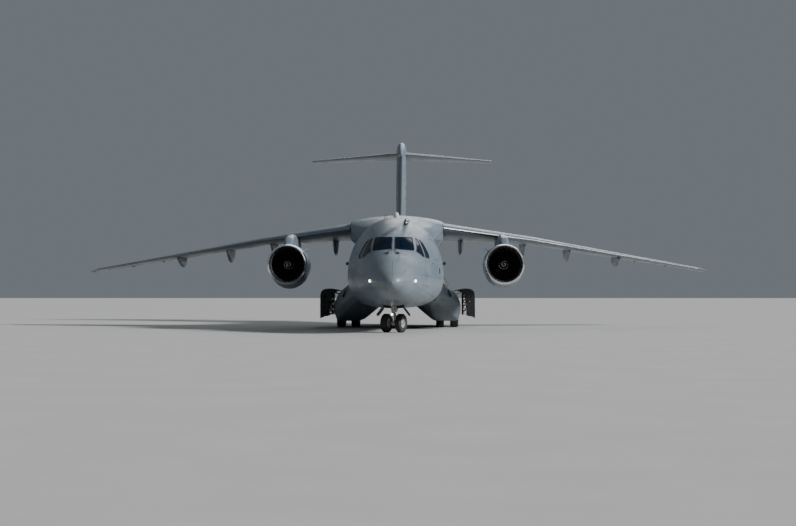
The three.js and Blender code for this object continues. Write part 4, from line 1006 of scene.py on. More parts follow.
def tail_knuckles(s, z, foot):
    """Two barrels round that pin, each with an arm to the moving panel."""
    made = []
    bore, outer = TAIL_PIN["radius"] + HINGE_PLAY, TAIL_PIN["moving"]
    for x in (-0.176, 0.176):
        middle = np.array((x, station(s), z))
        barrel = [(0, bore), (0, outer), (0.08, outer), (0.08, bore)]
        made.append(turned("barrel", middle - (0.04, 0, 0), middle, barrel, 20, loop=True))
        start = middle + np.array((0, *foot)) / math.hypot(*foot) * (outer - 0.004)
        made.append(rod("arm", start, middle + (0, *foot), outer - 0.008, 12))
    return made


def hinge_slot(s, z):
    """Room for a panel's hinge."""
    ends = [(x, station(s), z) for x in (-0.5, 0.5)]
    return rod("tool", *ends, TAIL_PIN["moving"] + 0.006, 20, kind=2)


tail = skin("tail_section", hull_rings(stops(BREAK_TAIL + SEAT, TAIL_END, 0.12)))
carve(tail, hull_tool(BREAK_TAIL - 0.2, 31.3, 0.15, WALL, 1), ramp_tool(SHUT), door_tool(SHUT))
hinges = tail_hinge(RAMP["from"], RAMP["hinge"], (-0.1, 0.095))
hinges += tail_hinge(DOOR["to"], DOOR["hinge"], (0.11, -0.147))
tail = joined("tail_section", tail, *hinges)
fit(tail, HULL_FINISHES, "airframe", ["fuselage_tail"])

ramp = skin("ramp_panel", hull_rings(stops(21.1, 26.0, 0.1)))
carve(carve(ramp, ramp_tool(0.0), way="INTERSECT"), hinge_slot(RAMP["from"], RAMP["hinge"]))
treads = []
for x in (-1.0, 0.72):
    a, b = station(22.1), station(22.1) + 0.05
    tread = prism("tread", [(a, 1.50), (b, 1.515), (b, 1.555), (a, 1.54)], "x", x, x + 0.28, kind=2)
    slope = (MEET["top"] - 1.51) / (25.328 - 22.0)
    treads.append(row_recipe.serve(tread, bright_metal, Count=26, Step=(0, 0.12, 0.12 * slope)))
ramp = joined("ramp_panel", ramp, *tail_knuckles(RAMP["from"], RAMP["hinge"], (0.11, 0.12)))
fit(ramp, [hull_paint, cabin_trim, floor_paint], "cargo_ramp", ["cargo_ramp"])
fit(joined("ramp_treads", *treads), [bright_metal], "cargo_ramp")

rear_door = skin("rear_door_panel", hull_rings(stops(25.0, 30.5, 0.1)))
carve(carve(rear_door, door_tool(0.0, 1), way="INTERSECT"), hinge_slot(DOOR["to"], DOOR["hinge"]))
rear_door = joined("rear_door_panel", rear_door, *tail_knuckles(DOOR["to"], DOOR["hinge"], (-0.13, -0.09)))
fit(rear_door, HULL_FINISHES, "cargo_door", ["cargo_door"])


# Wings. Each is one tapering box with a shallow droop to its tip, riveted from long panels. Metal leading
# edges carry the slats; flaps on tracks under canoe fairings and an aileron hang behind the rear spar.
CAMBER = 0.012
# Wing: distance out, station of the leading edge, chord, heights of both edges, thickness as a share
WING = [
    [2.400, 12.650, 6.050, 5.180, 4.756, 0.119],
    [7.300, 14.904, 4.350, 4.620, 4.520, 0.095],
    [16.90, 19.500, 1.750, 3.180, 3.110, 0.085],
    [17.525, 20.350, 0.900, 3.030, 3.000, 0.080],
]
HALF_SPAN, WING_ROOT, LEAD_SHARE = 17.525, 2.4 + SEAT, 0.012
# Controls: name, from and to distance out, hinge as a share of the chord, its drop at both ends, room inside
CONTROLS = [
    ["inboard_flap", 2.58, 7.20, 0.74, 0.950, 0.731, 0.180],
    ["outboard_flap", 7.39, 12.62, 0.74, 0.815, 0.515, 0.190],
    ["aileron", 12.72, 16.50, 0.75, 0, 0, 0.024],
]
# Flap track fairings: distance out, number of the flap that each carries
CANOES = [[3.40, 0], [6.82, 0], [9.30, 1], [12.10, 1]]
CANOE_FRONT = [[-1.9, 0.30, 0.06], [-1.3, 0.62, 0.12], [-0.6, 0.93, 0.15], [-0.1, 1.0, 0.15]]
CANOE_REAR = [[-0.03, 1.0, 0.15], [0.5, 0.84, 0.13], [1.1, 0.52, 0.095], [1.65, 0.20, 0.035]]
TRACK_PIN = {"radius": 0.018, "half": 0.084, "web": 0.026, "slot": 0.044}
FLAP_SIDE, FLAP_NOSE = 0.024, 0.025  # gaps beside and before a control surface
WING_HEIGHTS = (2.5, 6.5)  # heights between which a tool cuts right through the wing
COVE = 0.075  # room between a control surface's nose and what is fixed before it


def straight(rows, at):
    rows = np.array(rows, float)
    return [np.interp(at, rows[:, 0], column) for column in rows.T[1:]]


def foil(u):
    return 5 * (0.2969 * np.sqrt(u) - 0.126 * u - 0.3516 * u**2 + 0.2843 * u**3 - 0.1015 * u**4)


CHORD_STOPS = 0.5 - 0.5 * np.cos(np.linspace(0, np.pi, 29))
ROUND_CHORD = np.concatenate([CHORD_STOPS[::-1], CHORD_STOPS[1:-1]])


def foil_ring(rows, x, camber=CAMBER, grow=0.0, flatten=1.0):
    """A wing section of (station, height), from the trailing edge forward above and back below."""
    lead, chord, z_lead, z_trail, thick = straight(rows, x)
    u = ROUND_CHORD
    way = np.where(np.arange(len(u)) < len(CHORD_STOPS), 1.0, -1.0)
    middle = z_lead + (z_trail - z_lead) * u + camber * chord * 4 * u * (1 - u)
    trail = 0.004 * (u > 0.999)
    half = flatten * (foil(u) * thick * chord + grow + trail)
    return np.stack([lead - grow + (chord + 2 * grow) * u, middle + way * half], axis=1)


def lead_marks(rings_between):
    """Finish 1 for the quads of the metal leading edge, finish 0 behind it."""
    middle = (ROUND_CHORD + np.roll(ROUND_CHORD, -1)) / 2
    return np.tile((middle < LEAD_SHARE).astype(int), (rings_between, 1))


def hinge_at(rows, x, share, camber=CAMBER):
    """Station, height and nose radius of a control surface, then both of its trailing edge."""
    lead, chord, z_lead, z_trail, thick = straight(rows, x)
    z = z_lead + (z_trail - z_lead) * share + camber * chord * 4 * share * (1 - share)
    return lead + chord * share, z, foil(share) * thick * chord * 0.97, lead + chord, z_trail


def control_ring(rows, x, share, camber=CAMBER):
    s, z, r, end, end_z = hinge_at(rows, x, share, camber)
    angle = np.radians(np.linspace(90, -90, 17))
    nose = [(s - r * math.cos(a), z + r * math.sin(a)) for a in angle]
    under = [(s + (end - s) * t, z - r + (end_z - 0.004 - z + r) * t) for t in (0.33, 0.67)]
    over = [(s + (end - s) * t, z + r + (end_z + 0.004 - z - r) * t) for t in (0.67, 0.33)]
    return nose + under + [(end, end_z - 0.004), (end, end_z + 0.004)] + over


def control_room(rows, x0, x1, share, camber, gap):
    """The room that a control surface takes out of the wing, in plan."""
    front = [station(s - r - gap) for s, _, r, _, _ in (hinge_at(rows, x, share, camber) for x in (x0, x1))]
    back = [station(sum(straight(rows, x)[:2]) + 0.3) for x in (x0, x1)]
    return [(x0, front[0]), (x1, front[1]), (x1, back[1]), (x0, back[0])]


def across(points, side):
    """Points mirrored to their side of the aeroplane."""
    return np.array(points, float) * (side, 1, 1)


def dome(half, foot, high, across_power, up_power, count=21):
    """A flat-footed section with a round crown, as (x, z) from one foot over to the other."""
    angles = np.linspace(0, np.pi, count)
    return [
        (
            half * np.sign(math.cos(a)) * abs(math.cos(a)) ** across_power,
            foot + high * math.sin(a) ** up_power,
        )
        for a in angles
    ]


def canoe(x, owner, rows, front, side):
    """Half of a track fairing: flat above, where it meets the wing, and round below."""
    _, x0, x1, share, inner, outer, _ = CONTROLS[owner]
    s, roof, *_ = hinge_at(WING, x, share)
    deep = np.interp(x, (x0, x1), (inner, outer))
    rings = []
    for ds, depth, half in smooth(rows, stops(rows[0][0], rows[-1][0], 0.07)):
        top = roof - (0.1 * -ds / 1.9 if front else 0.06 * max(0, ds) / 1.65)
        low = roof - deep * depth - 0.06
        section = dome(half, top, low - top, 0.7, 0.8)
        rings.append(across([(x + dx, station(s + ds), z) for dx, z in section], side))
    return skin("canoe", rings)


def wing_panels(made):
    out = made.x.size()
    return panels(made, out - 0.4, made.y - out * 0.47, 2.64, 0.93)


wing_paint = paint("wing_paint", PAINT, wing_panels, streak=(0.5, 0.10, 1))
lead_metal = Finish("leading_edge_metal", Metallic=1.0)
brushed = lead_metal.noise(4, 6, (0.15, 1, 1)).ramp(0.3, 0.75)
lead_metal.wear(
    Base_Color=lead_metal.blend(brushed, (0.26, 0.28, 0.30), (0.21, 0.23, 0.25)),
    Roughness=brushed * 0.08 + 0.38,
    Normal=lead_metal.relief(lead_metal.x.size().lines(1.05, 0.012), -0.003),
)
nav_glass = {}
for name, colour in (("left", (0.50, 0.01, 0.01)), ("right", (0.01, 0.35, 0.08))):
    nav_glass[name] = Finish(f"position_light_{name}", Roughness=0.08, Coat_Weight=1.0)
    prisms = nav_glass[name].z.lines(0.012, 0.006)
    nav_glass[name].wear(
        Base_Color=nav_glass[name].blend(prisms, colour, [c * 0.5 for c in colour]),
        Normal=nav_glass[name].relief(prisms, 0.001),
    )

KINK, TIP_FROM = WING[1][0], WING[2][0]
WING_STOPS = [
    *stops(WING_ROOT, KINK, 0.3), *stops(KINK, TIP_FROM, 0.4)[1:], *stops(TIP_FROM, HALF_SPAN, 0.08)[1:],
]
# Static wicks along an aileron: how many, from and to distance out, length, radius
WICKS = {"count": 6, "from": 13.0, "to": 16.3, "long": 0.14, "radius": 0.004}
# Position light: both ends as distance out, station and height from the leading edge, then its profile
TIP_LIGHT = [[17.10, 20.02, -0.005], [17.45, 20.33, -0.03]]
TIP_LENS = [(0, 0), (0.02, 0.030), (0.10, 0.042), (0.30, 0.040), (0.40, 0.022), (0.43, 0)]


def span_rings(rows, places, side, camber=CAMBER, grow=0.0, thin_tip=0.45):
    """Sections at some distances out, the last of them thinned to a blunt tip."""
    rings = []
    for x in places:
        section = foil_ring(rows, x, camber, grow, thin_tip if x == places[-1] else 1.0)
        rings.append(across([(x, station(s), z) for s, z in section], side))
    return rings


def stub_pins(name, start, end, out, radius, deep):
    """Pins at both ends of a control surface, from inside the fixed piece into the moving one."""
    start, end = np.array(start), np.array(end)
    along = unit(end - start)
    inner = rod(name, start - along * out[0], start + along * deep, radius, 16)
    return [inner, rod(name, end - along * deep, end + along * out[1], radius, 16)]


def stub_sockets(start, end, out):
    """Tools that cut the room for those pins."""
    return stub_pins("tool", start, end, out, STUB + HINGE_PLAY, STUB_DEEP + 0.004)


def control_rings(rows, x0, x1, share, camber, side):
    places = stops(x0, x1, 0.4)
    return [
        across([(x, station(s), z) for s, z in control_ring(rows, x, share, camber)], side)
        for x in places
    ]


def flap_hinge(owner, side):
    _, x0, x1, share, inner, outer, _ = CONTROLS[owner]
    ends = []
    for x, drop in ((x0, inner), (x1, outer)):
        s, z, *_ = hinge_at(WING, x, share)
        ends.append(across((x, station(s), z - drop), side))
    return ends


def track_pin(x, owner, side):
    """The middle and the direction of the pin in a flap's track."""
    a, b = flap_hinge(owner, side)
    share = (x - CONTROLS[owner][1]) / (CONTROLS[owner][2] - CONTROLS[owner][1])
    return a + (b - a) * share, unit(b - a)


STUB, STUB_DEEP, AILERON_STUBS = 0.02, 0.06, (0.066, 0.08)
for name, side in SIDES:
    rings = span_rings(WING, WING_STOPS, side)
    wing = skin("wing", rings, kind=lead_marks(len(rings) - 1))
    rooms = []
    for _, x0, x1, share, _, _, inner in CONTROLS:
        plan = control_room(WING, x0 - inner, x1 + FLAP_SIDE, share, CAMBER, FLAP_NOSE)
        rooms.append(prism("tool", [(side * x, y) for x, y in plan], "z", *WING_HEIGHTS))
    carve(wing, *rooms)
    fixed = []
    for x, owner in CANOES:
        s, z, r, *_ = hinge_at(WING, x, CONTROLS[owner][3])
        y = station(s - r - COVE)
        cove = block("tool", side * x - 0.4, side * x + 0.4, y, y + 2, z - r - COVE, 7, kind=2)
        fixed.append(carve(canoe(x, owner, CANOE_FRONT, True, side), cove))
        pin, along = track_pin(x, owner, side)
        web, r = TRACK_PIN["web"], TRACK_PIN["radius"]
        plate = (pin[0] - web, pin[0] + web, pin[1] - 0.16, pin[1] + r, pin[2] - r, pin[2] + r)
        fixed.append(block("web", *plate, kind=3))
        along = along * TRACK_PIN["half"]
        fixed.append(rod("pin", pin - along, pin + along, r, 16, kind=3))
    fixed += stub_pins("pin", *flap_hinge(2, side), AILERON_STUBS, STUB, STUB_DEEP)
    wing = joined(f"wing_{name}_skin", wing, *fixed)
    fit(wing, [wing_paint, lead_metal, edge_seal, bright_metal], "airframe", [f"wing_{name}"])

    for owner, (part, x0, x1, share, *_) in enumerate(CONTROLS):
        surface = skin(part, control_rings(WING, x0, x1, share, CAMBER, side))
        if part == "aileron":
            carve(surface, *stub_sockets(*flap_hinge(owner, side), AILERON_STUBS))
        made = []
        for x, _ in [row for row in CANOES if row[1] == owner]:
            pin, along = track_pin(x, owner, side)
            slot, along = TRACK_PIN["slot"], along * 0.2
            room = (pin[0] - slot, pin[0] + slot, pin[1] - 0.08, pin[1] + 0.045, pin[2] - 0.2, pin[2] + 0.06)
            gap = block("tool", *room, kind=2)
            bore = rod("tool", pin - along, pin + along, TRACK_PIN["radius"] + HINGE_PLAY, 16, kind=2)
            made.append(carve(carve(canoe(x, owner, CANOE_REAR, False, side), gap), bore))
        surface = joined(f"{part}_{name}_skin", surface, *made)
        fit(surface, [wing_paint, lead_metal, edge_seal], f"{part}_{name}", [f"{part}_{name}"])

    # static wicks along the aileron, and the position light let into the wing tip
    trail = []
    for x in (WICKS["from"], WICKS["to"]):
        lead, chord, _, z, _ = straight(WING, x)
        trail.append(across((x, station(lead + chord), z), side))
    wick = rod("wick", trail[0] - (0, 0.01, 0), trail[0] + (0, WICKS["long"], 0), WICKS["radius"], 6)
    step = (trail[1] - trail[0]) / (WICKS["count"] - 1)
    wicks = row_recipe.serve(wick, edge_seal, Count=WICKS["count"], Step=tuple(step))
    wicks.name = f"static_wicks_{name}"
    fit(wicks, [edge_seal], f"aileron_{name}")
    z = straight(WING, 17.25)[2]
    ends = [across((x, station(s), z + dz), side) for x, s, dz in TIP_LIGHT]
    lens = turned(f"position_light_{name}", *ends, TIP_LENS, 20)
    fit(lens, [nav_glass[name]], "airframe")


# Fin and rudder. A tall swept fin with a fillet at its root carries the tailplane on its top, under a long
# rounded fairing. The rudder hangs on pins behind it.
TAILPLANE = [[0, 31.0, 3.6, 10.74, 10.60, 0.10], [5.88, 33.7, 1.5, 10.48, 10.465, 0.09]]
FIN = [[5.2, 25.3, 7.3, 0, 0, 0.068], [10.5, 30.2, 3.96, 0, 0, 0.15]]
# Fillet at the fin's root: station, height of its ridge
FILLET = [[22.9, 5.40], [24.8, 5.68], [26.6, 6.25], [27.8, 7.30]]
FILLET_FOOT, FILLET_HALF = 5.2, 0.11
# Tip fairing: station, half width, top, foot
TIP = [
    [29.7, 0.030, 10.66, 10.56],
    [30.0, 0.150, 10.88, 10.42],
    [30.6, 0.250, 11.15, 10.33],
    [31.4, 0.310, 11.42, 10.25],
    [32.3, 0.325, 11.56, 10.22],
    [33.2, 0.320, 11.60, 10.26],
    [34.2, 0.200, 11.33, 10.48],
    [35.0, 0.060, 11.02, 10.82],
]
# Both surfaces: their ends, hinge as a share of the chord, and the gaps beside and before them
RUDDER = {"low": 5.70, "high": 10.08, "share": 0.7, "below": 0.05, "above": 0.07, "nose": 0.026}
ELEVATOR = {"from": 0.44, "to": 5.65, "share": 0.7, "side": 0.025, "nose": 0.022}
RUDDER_STUBS, ELEVATOR_STUBS = (0.09, 0.16), (0.08, 0.08)


def fin_panels(made):
    return panels(made, made.z - 0.2, made.y - made.z * 0.92, 1.92, 0.88)


fin_paint = paint("fin_paint", PAINT, fin_panels, streak=(1, 0.15, 0.6))
rings = [[(x, station(s), z) for s, x in foil_ring(FIN, z, 0)] for z in stops(5.2, 10.5, 0.25)]
blade = skin("fin", rings, kind=lead_marks(len(rings) - 1))
ends = RUDDER["low"] - RUDDER["below"], RUDDER["high"] + RUDDER["above"]
room = control_room(FIN, *ends, RUDDER["share"], 0, RUDDER["nose"])
carve(blade, prism("tool", [(y, z) for z, y in room], "x", -0.6, 0.6))
ridge = []
for s in stops(22.9, 27.7, 0.12):
    high = straight(FILLET, s)[0] - FILLET_FOOT
    half = np.interp(s, (22.9, 24.2), (0.03, FILLET_HALF))
    ridge.append([(x, station(s), z) for x, z in dome(half, FILLET_FOOT, high, 0.8, 0.5, 15)])
fillet = skin("fillet", ridge)
for piece in (fillet, blade):
    carve(piece, hull_tool(22, TAIL_END, 0.2))
angle = np.linspace(0, 2 * np.pi, 40, endpoint=False)
rings = [
    [(half * math.cos(a), station(s), (top + foot) / 2 + (top - foot) / 2 * math.sin(a)) for a in angle]
    for s, half, top, foot in smooth(TIP, stops(29.7, 35.0, 0.1))
]
tip = skin("tip", rings)
hinge_ends = []
for z in (RUDDER["low"], RUDDER["high"]):
    hinge_ends.append((0, station(hinge_at(FIN, z, RUDDER["share"], 0)[0]), z))
fin = joined("fin_skin", blade, fillet, tip, *stub_pins("pin", *hinge_ends, RUDDER_STUBS, STUB, STUB_DEEP))
fit(fin, [fin_paint, lead_metal], "airframe", ["fin"])

rings = []
for z in stops(RUDDER["low"], RUDDER["high"], 0.3):
    rings.append([(x, station(s), z) for s, x in control_ring(FIN, z, RUDDER["share"], 0)])
rudder = carve(skin("rudder_skin", rings), *stub_sockets(*hinge_ends, RUDDER_STUBS))
fit(rudder, [fin_paint], "rudder", ["rudder"])


# Tailplane and elevators. One piece through the fin's top, set with a little droop, with an elevator a side.
# Each elevator turns on stub pins that stand in the tailplane.
TAIL_STOPS = [*stops(0.0, 5.75, 0.3), *stops(5.75, 5.88, 0.05)[1:]]
left_half, right_half = [span_rings(TAILPLANE, TAIL_STOPS, side, 0, thin_tip=0.5) for _, side in SIDES]
rings = right_half[:0:-1] + left_half
tailplane = skin("tailplane", rings, kind=lead_marks(len(rings) - 1))
pins = []
for _, side in SIDES:
    ends = ELEVATOR["from"] - ELEVATOR["side"], ELEVATOR["to"] + ELEVATOR["side"]
    room = control_room(TAILPLANE, *ends, ELEVATOR["share"], 0, ELEVATOR["nose"])
    carve(tailplane, prism("tool", [(side * x, y) for x, y in room], "z", 10, 11.4))
for name, side in SIDES:
    ends = []
    for end in ("from", "to"):
        s, z, *_ = hinge_at(TAILPLANE, ELEVATOR[end], ELEVATOR["share"], 0)
        ends.append(across((ELEVATOR[end], station(s), z), side))
    pins += stub_pins("pin", *ends, ELEVATOR_STUBS, STUB, STUB_DEEP)
    rings = control_rings(TAILPLANE, ELEVATOR["from"], ELEVATOR["to"], ELEVATOR["share"], 0, side)
    elevator = carve(skin(f"elevator_{name}_skin", rings), *stub_sockets(*ends, ELEVATOR_STUBS))
    fit(elevator, [wing_paint], f"elevator_{name}", [f"elevator_{name}"])
tailplane = joined("tailplane_skin", tailplane, *pins)
fit(tailplane, [wing_paint, lead_metal], "airframe", ["tailplane"])


# Engine nacelles. A long cowl open at both ends, deeper below its axis, with a polished inlet lip, a
# sound-absorbing duct painted near-black as painted shade of the deep inlet, a heat-stained nozzle and a
# strake.
# The fan and the engine's core stand inside it.
ENGINE = {"x": 5.40, "z": 3.25, "lip": 9.40}
# Outside and inside of the nacelle: distance aft of the lip, radius
NACELLE_OUT = [
    [0.00, 0.907], [0.06, 0.957], [0.25, 0.995], [0.70, 1.015],
    [1.50, 1.022], [2.70, 0.988], [4.00, 0.868], [5.45, 0.640],
]
NACELLE_IN = [
    [0.03, 0.885], [0.15, 0.845], [0.50, 0.815], [1.00, 0.824], [3.00, 0.840], [4.20, 0.760], [5.45, 0.600],
]
NACELLE_LONG, INNER_FROM, BULGE = 5.45, 0.03, 0.185
LIP_END, DUCT_END, NOZZLE_FROM = 0.24, 1.25, 4.75
AROUND_ENGINE = 96
# Outline of the strake: distance aft of the lip, radius
STRAKE = [[0.95, 0.985], [1.25, 1.105], [1.65, 1.21], [2.05, 1.24], [2.10, 0.975]]
STRAKE_ANGLE, STRAKE_HALF = math.radians(138), 0.012
# Engine core from behind the fan to the point of its exhaust cone: distance aft of the lip, radius
CORE = [
    [1.30, 0.000], [1.30, 0.130], [1.39, 0.130], [1.54, 0.480], [1.70, 0.530], [1.90, 0.560],
    [2.60, 0.565], [3.30, 0.560], [3.70, 0.545], [4.20, 0.490], [4.70, 0.420], [4.70, 0.395],
    [4.60, 0.385], [4.60, 0.310], [4.75, 0.300], [4.95, 0.262], [5.15, 0.205], [5.35, 0.125],
    [5.50, 0.055], [5.60, 0.000],
]


def ease(t):
    t = np.clip(t, 0, 1)
    return t * t * (3 - 2 * t)


def engine_point(side, aft, radius, angle):
    """A point round an engine's axis. The cowl is deeper below the axis, between its lip and its tail."""
    x, z = radius * math.cos(angle), radius * math.sin(angle)
    if z < 0 and radius >= 0.9:
        z *= 1 + BULGE * ease(aft / 1.5) * (1 - ease((aft - 2.7) / 1.5))
    return side * (ENGINE["x"] + x), station(ENGINE["lip"] + aft), ENGINE["z"] + z


def round_engine(made):
    """The angle round an engine's axis, in radians."""
    up, out = made.z - ENGINE["z"], made.x.size() - ENGINE["x"]
    return made.node("ShaderNodeMath", {"operation": "ARCTAN2"}, {0: up, 1: out})


def engine_spread(made):
    """The distance from an engine's axis."""
    return ((made.x.size() - ENGINE["x"]) ** 2 + (made.z - ENGINE["z"]) ** 2) ** 0.5


def engine_rings(side, profile, around):
    """Rings round an engine's axis from rows of distance aft and radius."""
    angles = np.linspace(0, 2 * np.pi, around, endpoint=False)
    return [[engine_point(side, aft, r, a) for a in angles] for aft, r in profile]


def nacelle_panels(made):
    return panels(made, made.y - station(ENGINE["lip"] + 0.25), round_engine(made), 2.54, 1.0472)


nacelle_paint = paint("nacelle_paint", PAINT, nacelle_panels, streak=(1, 0.12, 1))
# near-black: painted shade for the depth of the inlet, with darker dots for the liner's holes
duct_paint = Finish("duct_paint", Roughness=0.6)
holes = round_engine(duct_paint).lines(0.06, 0.02) * duct_paint.y.lines(0.05, 0.016)
duct_paint.wear(
    Base_Color=duct_paint.blend(holes, (0.060, 0.062, 0.066), (0.025, 0.025, 0.028)),
    Normal=duct_paint.relief(holes, -0.002),
)
lip_metal = Finish("lip_metal", Metallic=1.0)
buffed = lip_metal.noise(9, 8, (1, 0.2, 1)).ramp(0.3, 0.75)
lip_metal.wear(
    Base_Color=lip_metal.blend(buffed, (0.90, 0.90, 0.91), (0.70, 0.71, 0.72)),
    Roughness=buffed * 0.10 + 0.20,
)
hot_metal = Finish("hot_metal", Metallic=1.0)
stain = hot_metal.noise(2.5, 6, (1, 0.3, 1)).ramp(0.3, 0.7)
heat = (hot_metal.y - station(ENGINE["lip"] + 4.3)).ramp(0.0, 1.2)
stained = hot_metal.blend(stain, (0.16, 0.15, 0.14), (0.30, 0.26, 0.22))
hot_metal.wear(
    Base_Color=hot_metal.blend(heat * 0.6, stained, (0.12, 0.10, 0.13)),
    Roughness=stain * 0.2 + 0.30,
)

# Fan: where it stands behind the lip, and its blades as radius, chord, turn in degrees, half thickness, sweep
FAN = {"at": 0.95, "tip": 0.806, "hub": 0.265, "blades": 22, "back": 1.2995, "turned": 0.095}
BLADE = [
    [0.225, 0.150, 28, 0.014, 0.000],
    [0.350, 0.165, 34, 0.011, -0.012],
    [0.500, 0.185, 42, 0.008, -0.010],
    [0.650, 0.200, 50, 0.006, 0.008],
    [0.750, 0.205, 55, 0.005, 0.022],
    [0.806, 0.190, 58, 0.004, 0.030],
]
SPINNER = [[0.00, 0.52], [0.06, 0.545], [0.15, 0.66], [0.265, 0.95]]
VANES = {"count": 44, "from": 1.78, "to": 2.02, "twist": 26, "radii": (0.5, 0.66, 0.838)}
STRUT = {"count": 8, "reach": ((-0.018, 0.018), (2.1, 2.25), (0.5, 0.835))}

# Fan blades, vanes and struts: near-black as painted shade of the engine's dark inside, a little lighter
# towards the blade tips
blade_metal = Finish("blade_metal", Metallic=0.5)
polish = blade_metal.noise(6, 5, (1, 1, 1)).ramp(0.3, 0.7)
edge = engine_spread(blade_metal).ramp(0.55, 0.80)
blade_metal.wear(
    Base_Color=blade_metal.blend(edge, (0.012, 0.013, 0.016), (0.024, 0.026, 0.032)),
    Roughness=polish * 0.15 + 0.45,
)
spinner_paint = Finish("spinner_paint", Roughness=0.4)
swirl = (round_engine(spinner_paint) / (2 * math.pi) + engine_spread(spinner_paint) * 8.0).fract()
mark = swirl.ramp(0.42, 0.45) * swirl.ramp(0.58, 0.61, 1, 0)
mark = mark * engine_spread(spinner_paint).ramp(0.252, 0.260, 1, 0)
spinner_paint.wear(
    Base_Color=spinner_paint.blend(mark, (0.014, 0.015, 0.017), (0.90, 0.90, 0.86)),
    Roughness=spinner_paint.noise(12, 6) * 0.3 + 0.25,
)


def vane_section(count, thick, bend):
    """A thin bent section: shares of half its chord, and how far off the chord line each point lies."""
    there = np.linspace(-1, 1, count)
    upper = [(u, thick * (1 - u * u) ** 0.5 + bend * (1 - u * u)) for u in there]
    lower = [(u, bend * (1 - u * u) - thick * (1 - u * u) ** 0.5) for u in there[-2:0:-1]]
    return upper + lower


for name, side in SIDES:
    outside = smooth(NACELLE_OUT, NACELLE_LONG * np.linspace(0, 1, 60) ** 1.6)
    aft = INNER_FROM + (NACELLE_LONG - INNER_FROM) * np.linspace(0, 1, 50) ** 1.6
    profile = np.vstack([outside, smooth(NACELLE_IN, aft)[::-1]])
    is_outside, aft = np.arange(len(profile)) < len(outside), profile[:, 0]
    kinds = np.where(aft < LIP_END, 1, np.where(is_outside, 0, 2))
    kinds = np.where(aft > np.where(is_outside, NOZZLE_FROM, DUCT_END), 3, kinds)
    rings = engine_rings(side, profile, AROUND_ENGINE)
    cowl = skin(f"nacelle_{name}_cowl", rings, loop=True, kind=kinds[:, None])
    fit(
        cowl, [nacelle_paint, lip_metal, duct_paint, hot_metal], "airframe",
        [f"nacelle_{name}"], sharp=50,
    )

    # strake on the inboard upper quarter of the cowl
    faces = []
    for shift in (-STRAKE_HALF, STRAKE_HALF):
        faces.append([engine_point(side, aft, r, STRAKE_ANGLE + shift / r) for aft, r in STRAKE])
    strake = soften(skin(f"nacelle_strake_{name}", faces), 0.004)
    fit(strake, [nacelle_paint], "airframe")

    hub, axis = (side * ENGINE["x"], station(ENGINE["lip"]), ENGINE["z"]), (0.0, 1.0, 0.0)
    aft = (hub[0], hub[1] + 1, hub[2])
    rings = []
    for radius, chord, twist, thick, sweep in smooth(BLADE, np.linspace(FAN["hub"] - 0.03, FAN["tip"], 14)):
        a = math.radians(twist)
        section = []
        for u, off in vane_section(9, thick, 0.010):
            along = u * chord / 2
            x, y = along * math.sin(a) + off * math.cos(a), along * math.cos(a) - off * math.sin(a)
            y += hub[1] + FAN["at"] + FAN["turned"] + sweep
            section.append((hub[0] + side * x, y, hub[2] + radius))
        rings.append(section)
    one = skin("blade", rings)
    blades = ring_recipe.serve(one, blade_metal, Count=FAN["blades"], Centre=hub, Axis=axis)
    nose = [(at, r) for r, at in smooth(SPINNER, np.linspace(0, FAN["hub"], 26))]
    nose += [(FAN["at"] + 0.19, FAN["hub"]), (FAN["at"] + 0.20, 0.09), (FAN["back"], 0.09), (FAN["back"], 0)]
    spinner = turned("spinner", hub, aft, nose, 64, kind=1)
    fan = joined(f"fan_{name}_blades", blades, spinner)
    fit(fan, [blade_metal, spinner_paint], f"fan_{name}", [f"fan_{name}"], sharp=40)

    body = turned("core", hub, aft, CORE, 64)
    middle, half = (VANES["from"] + VANES["to"]) / 2, (VANES["to"] - VANES["from"]) / 2
    lean = math.tan(math.radians(VANES["twist"])) * half
    rings = []
    for radius in VANES["radii"]:
        section = vane_section(6, 0.008, 0.012)
        section = [(side * (off + lean * u), middle + u * half, radius) for u, off in section]
        rings.append(np.array(section) + hub)
    vanes = ring_recipe.serve(skin("vane", rings), blade_metal, Count=VANES["count"], Centre=hub, Axis=axis)
    strut = [[at + reach for reach in ends] for at, ends in zip(hub, STRUT["reach"])]
    struts = block("strut", *strut[0], *strut[1], *strut[2])
    ring_recipe.serve(struts, blade_metal, Count=STRUT["count"], Centre=hub, Axis=axis)
    core = joined(f"engine_core_{name}_body", body, vanes, struts)
    fit(core, [hot_metal], "airframe", [f"engine_core_{name}"])


# Pylons. A narrow fairing that carries each nacelle ahead of and below the wing. It is cut back by the forms
# of the cowl and the wing, so that it sits closely on both.
PYLON_X = 5.45
# Side outline as station and height, and half of the plan as station and distance out
PYLON_TOP = [
    [10.70, 4.25], [11.20, 4.64], [12.00, 4.80], [13.00, 4.87], [14.60, 4.87], [16.20, 4.76], [17.35, 4.48],
]
PYLON_FOOT = [[10.70, 4.22], [12.00, 4.00], [14.50, 3.70], [15.20, 3.90], [17.35, 4.30]]
PYLON_PLAN = [[10.6, 0.02], [10.9, 0.20], [11.4, 0.275], [15.5, 0.275], [17.4, 0.07]]
for name, side in SIDES:
    rings = []
    for s in stops(10.72, 17.34, 0.1):
        half, top, foot = smooth(PYLON_PLAN, s)[0][1], smooth(PYLON_TOP, s)[0][1], straight(PYLON_FOOT, s)[0]
        section = dome(half, foot, top - foot, 0.6, 0.55)
        rings.append(across([(PYLON_X + x, station(s), z) for x, z in section], side))
    pylon = skin(f"pylon_{name}_fairing", rings)
    profile = smooth(NACELLE_OUT, np.linspace(0, NACELLE_LONG, 40)) + (0, SEAT)
    solid = engine_rings(side, profile, 64)
    wing_root = span_rings(WING, stops(WING_ROOT, 9.0, 0.3), side, grow=SEAT)
    carve(carve(pylon, skin("tool", solid)), skin("tool", wing_root))
    fit(pylon, [nacelle_paint], "airframe", [f"pylon_{name}"])


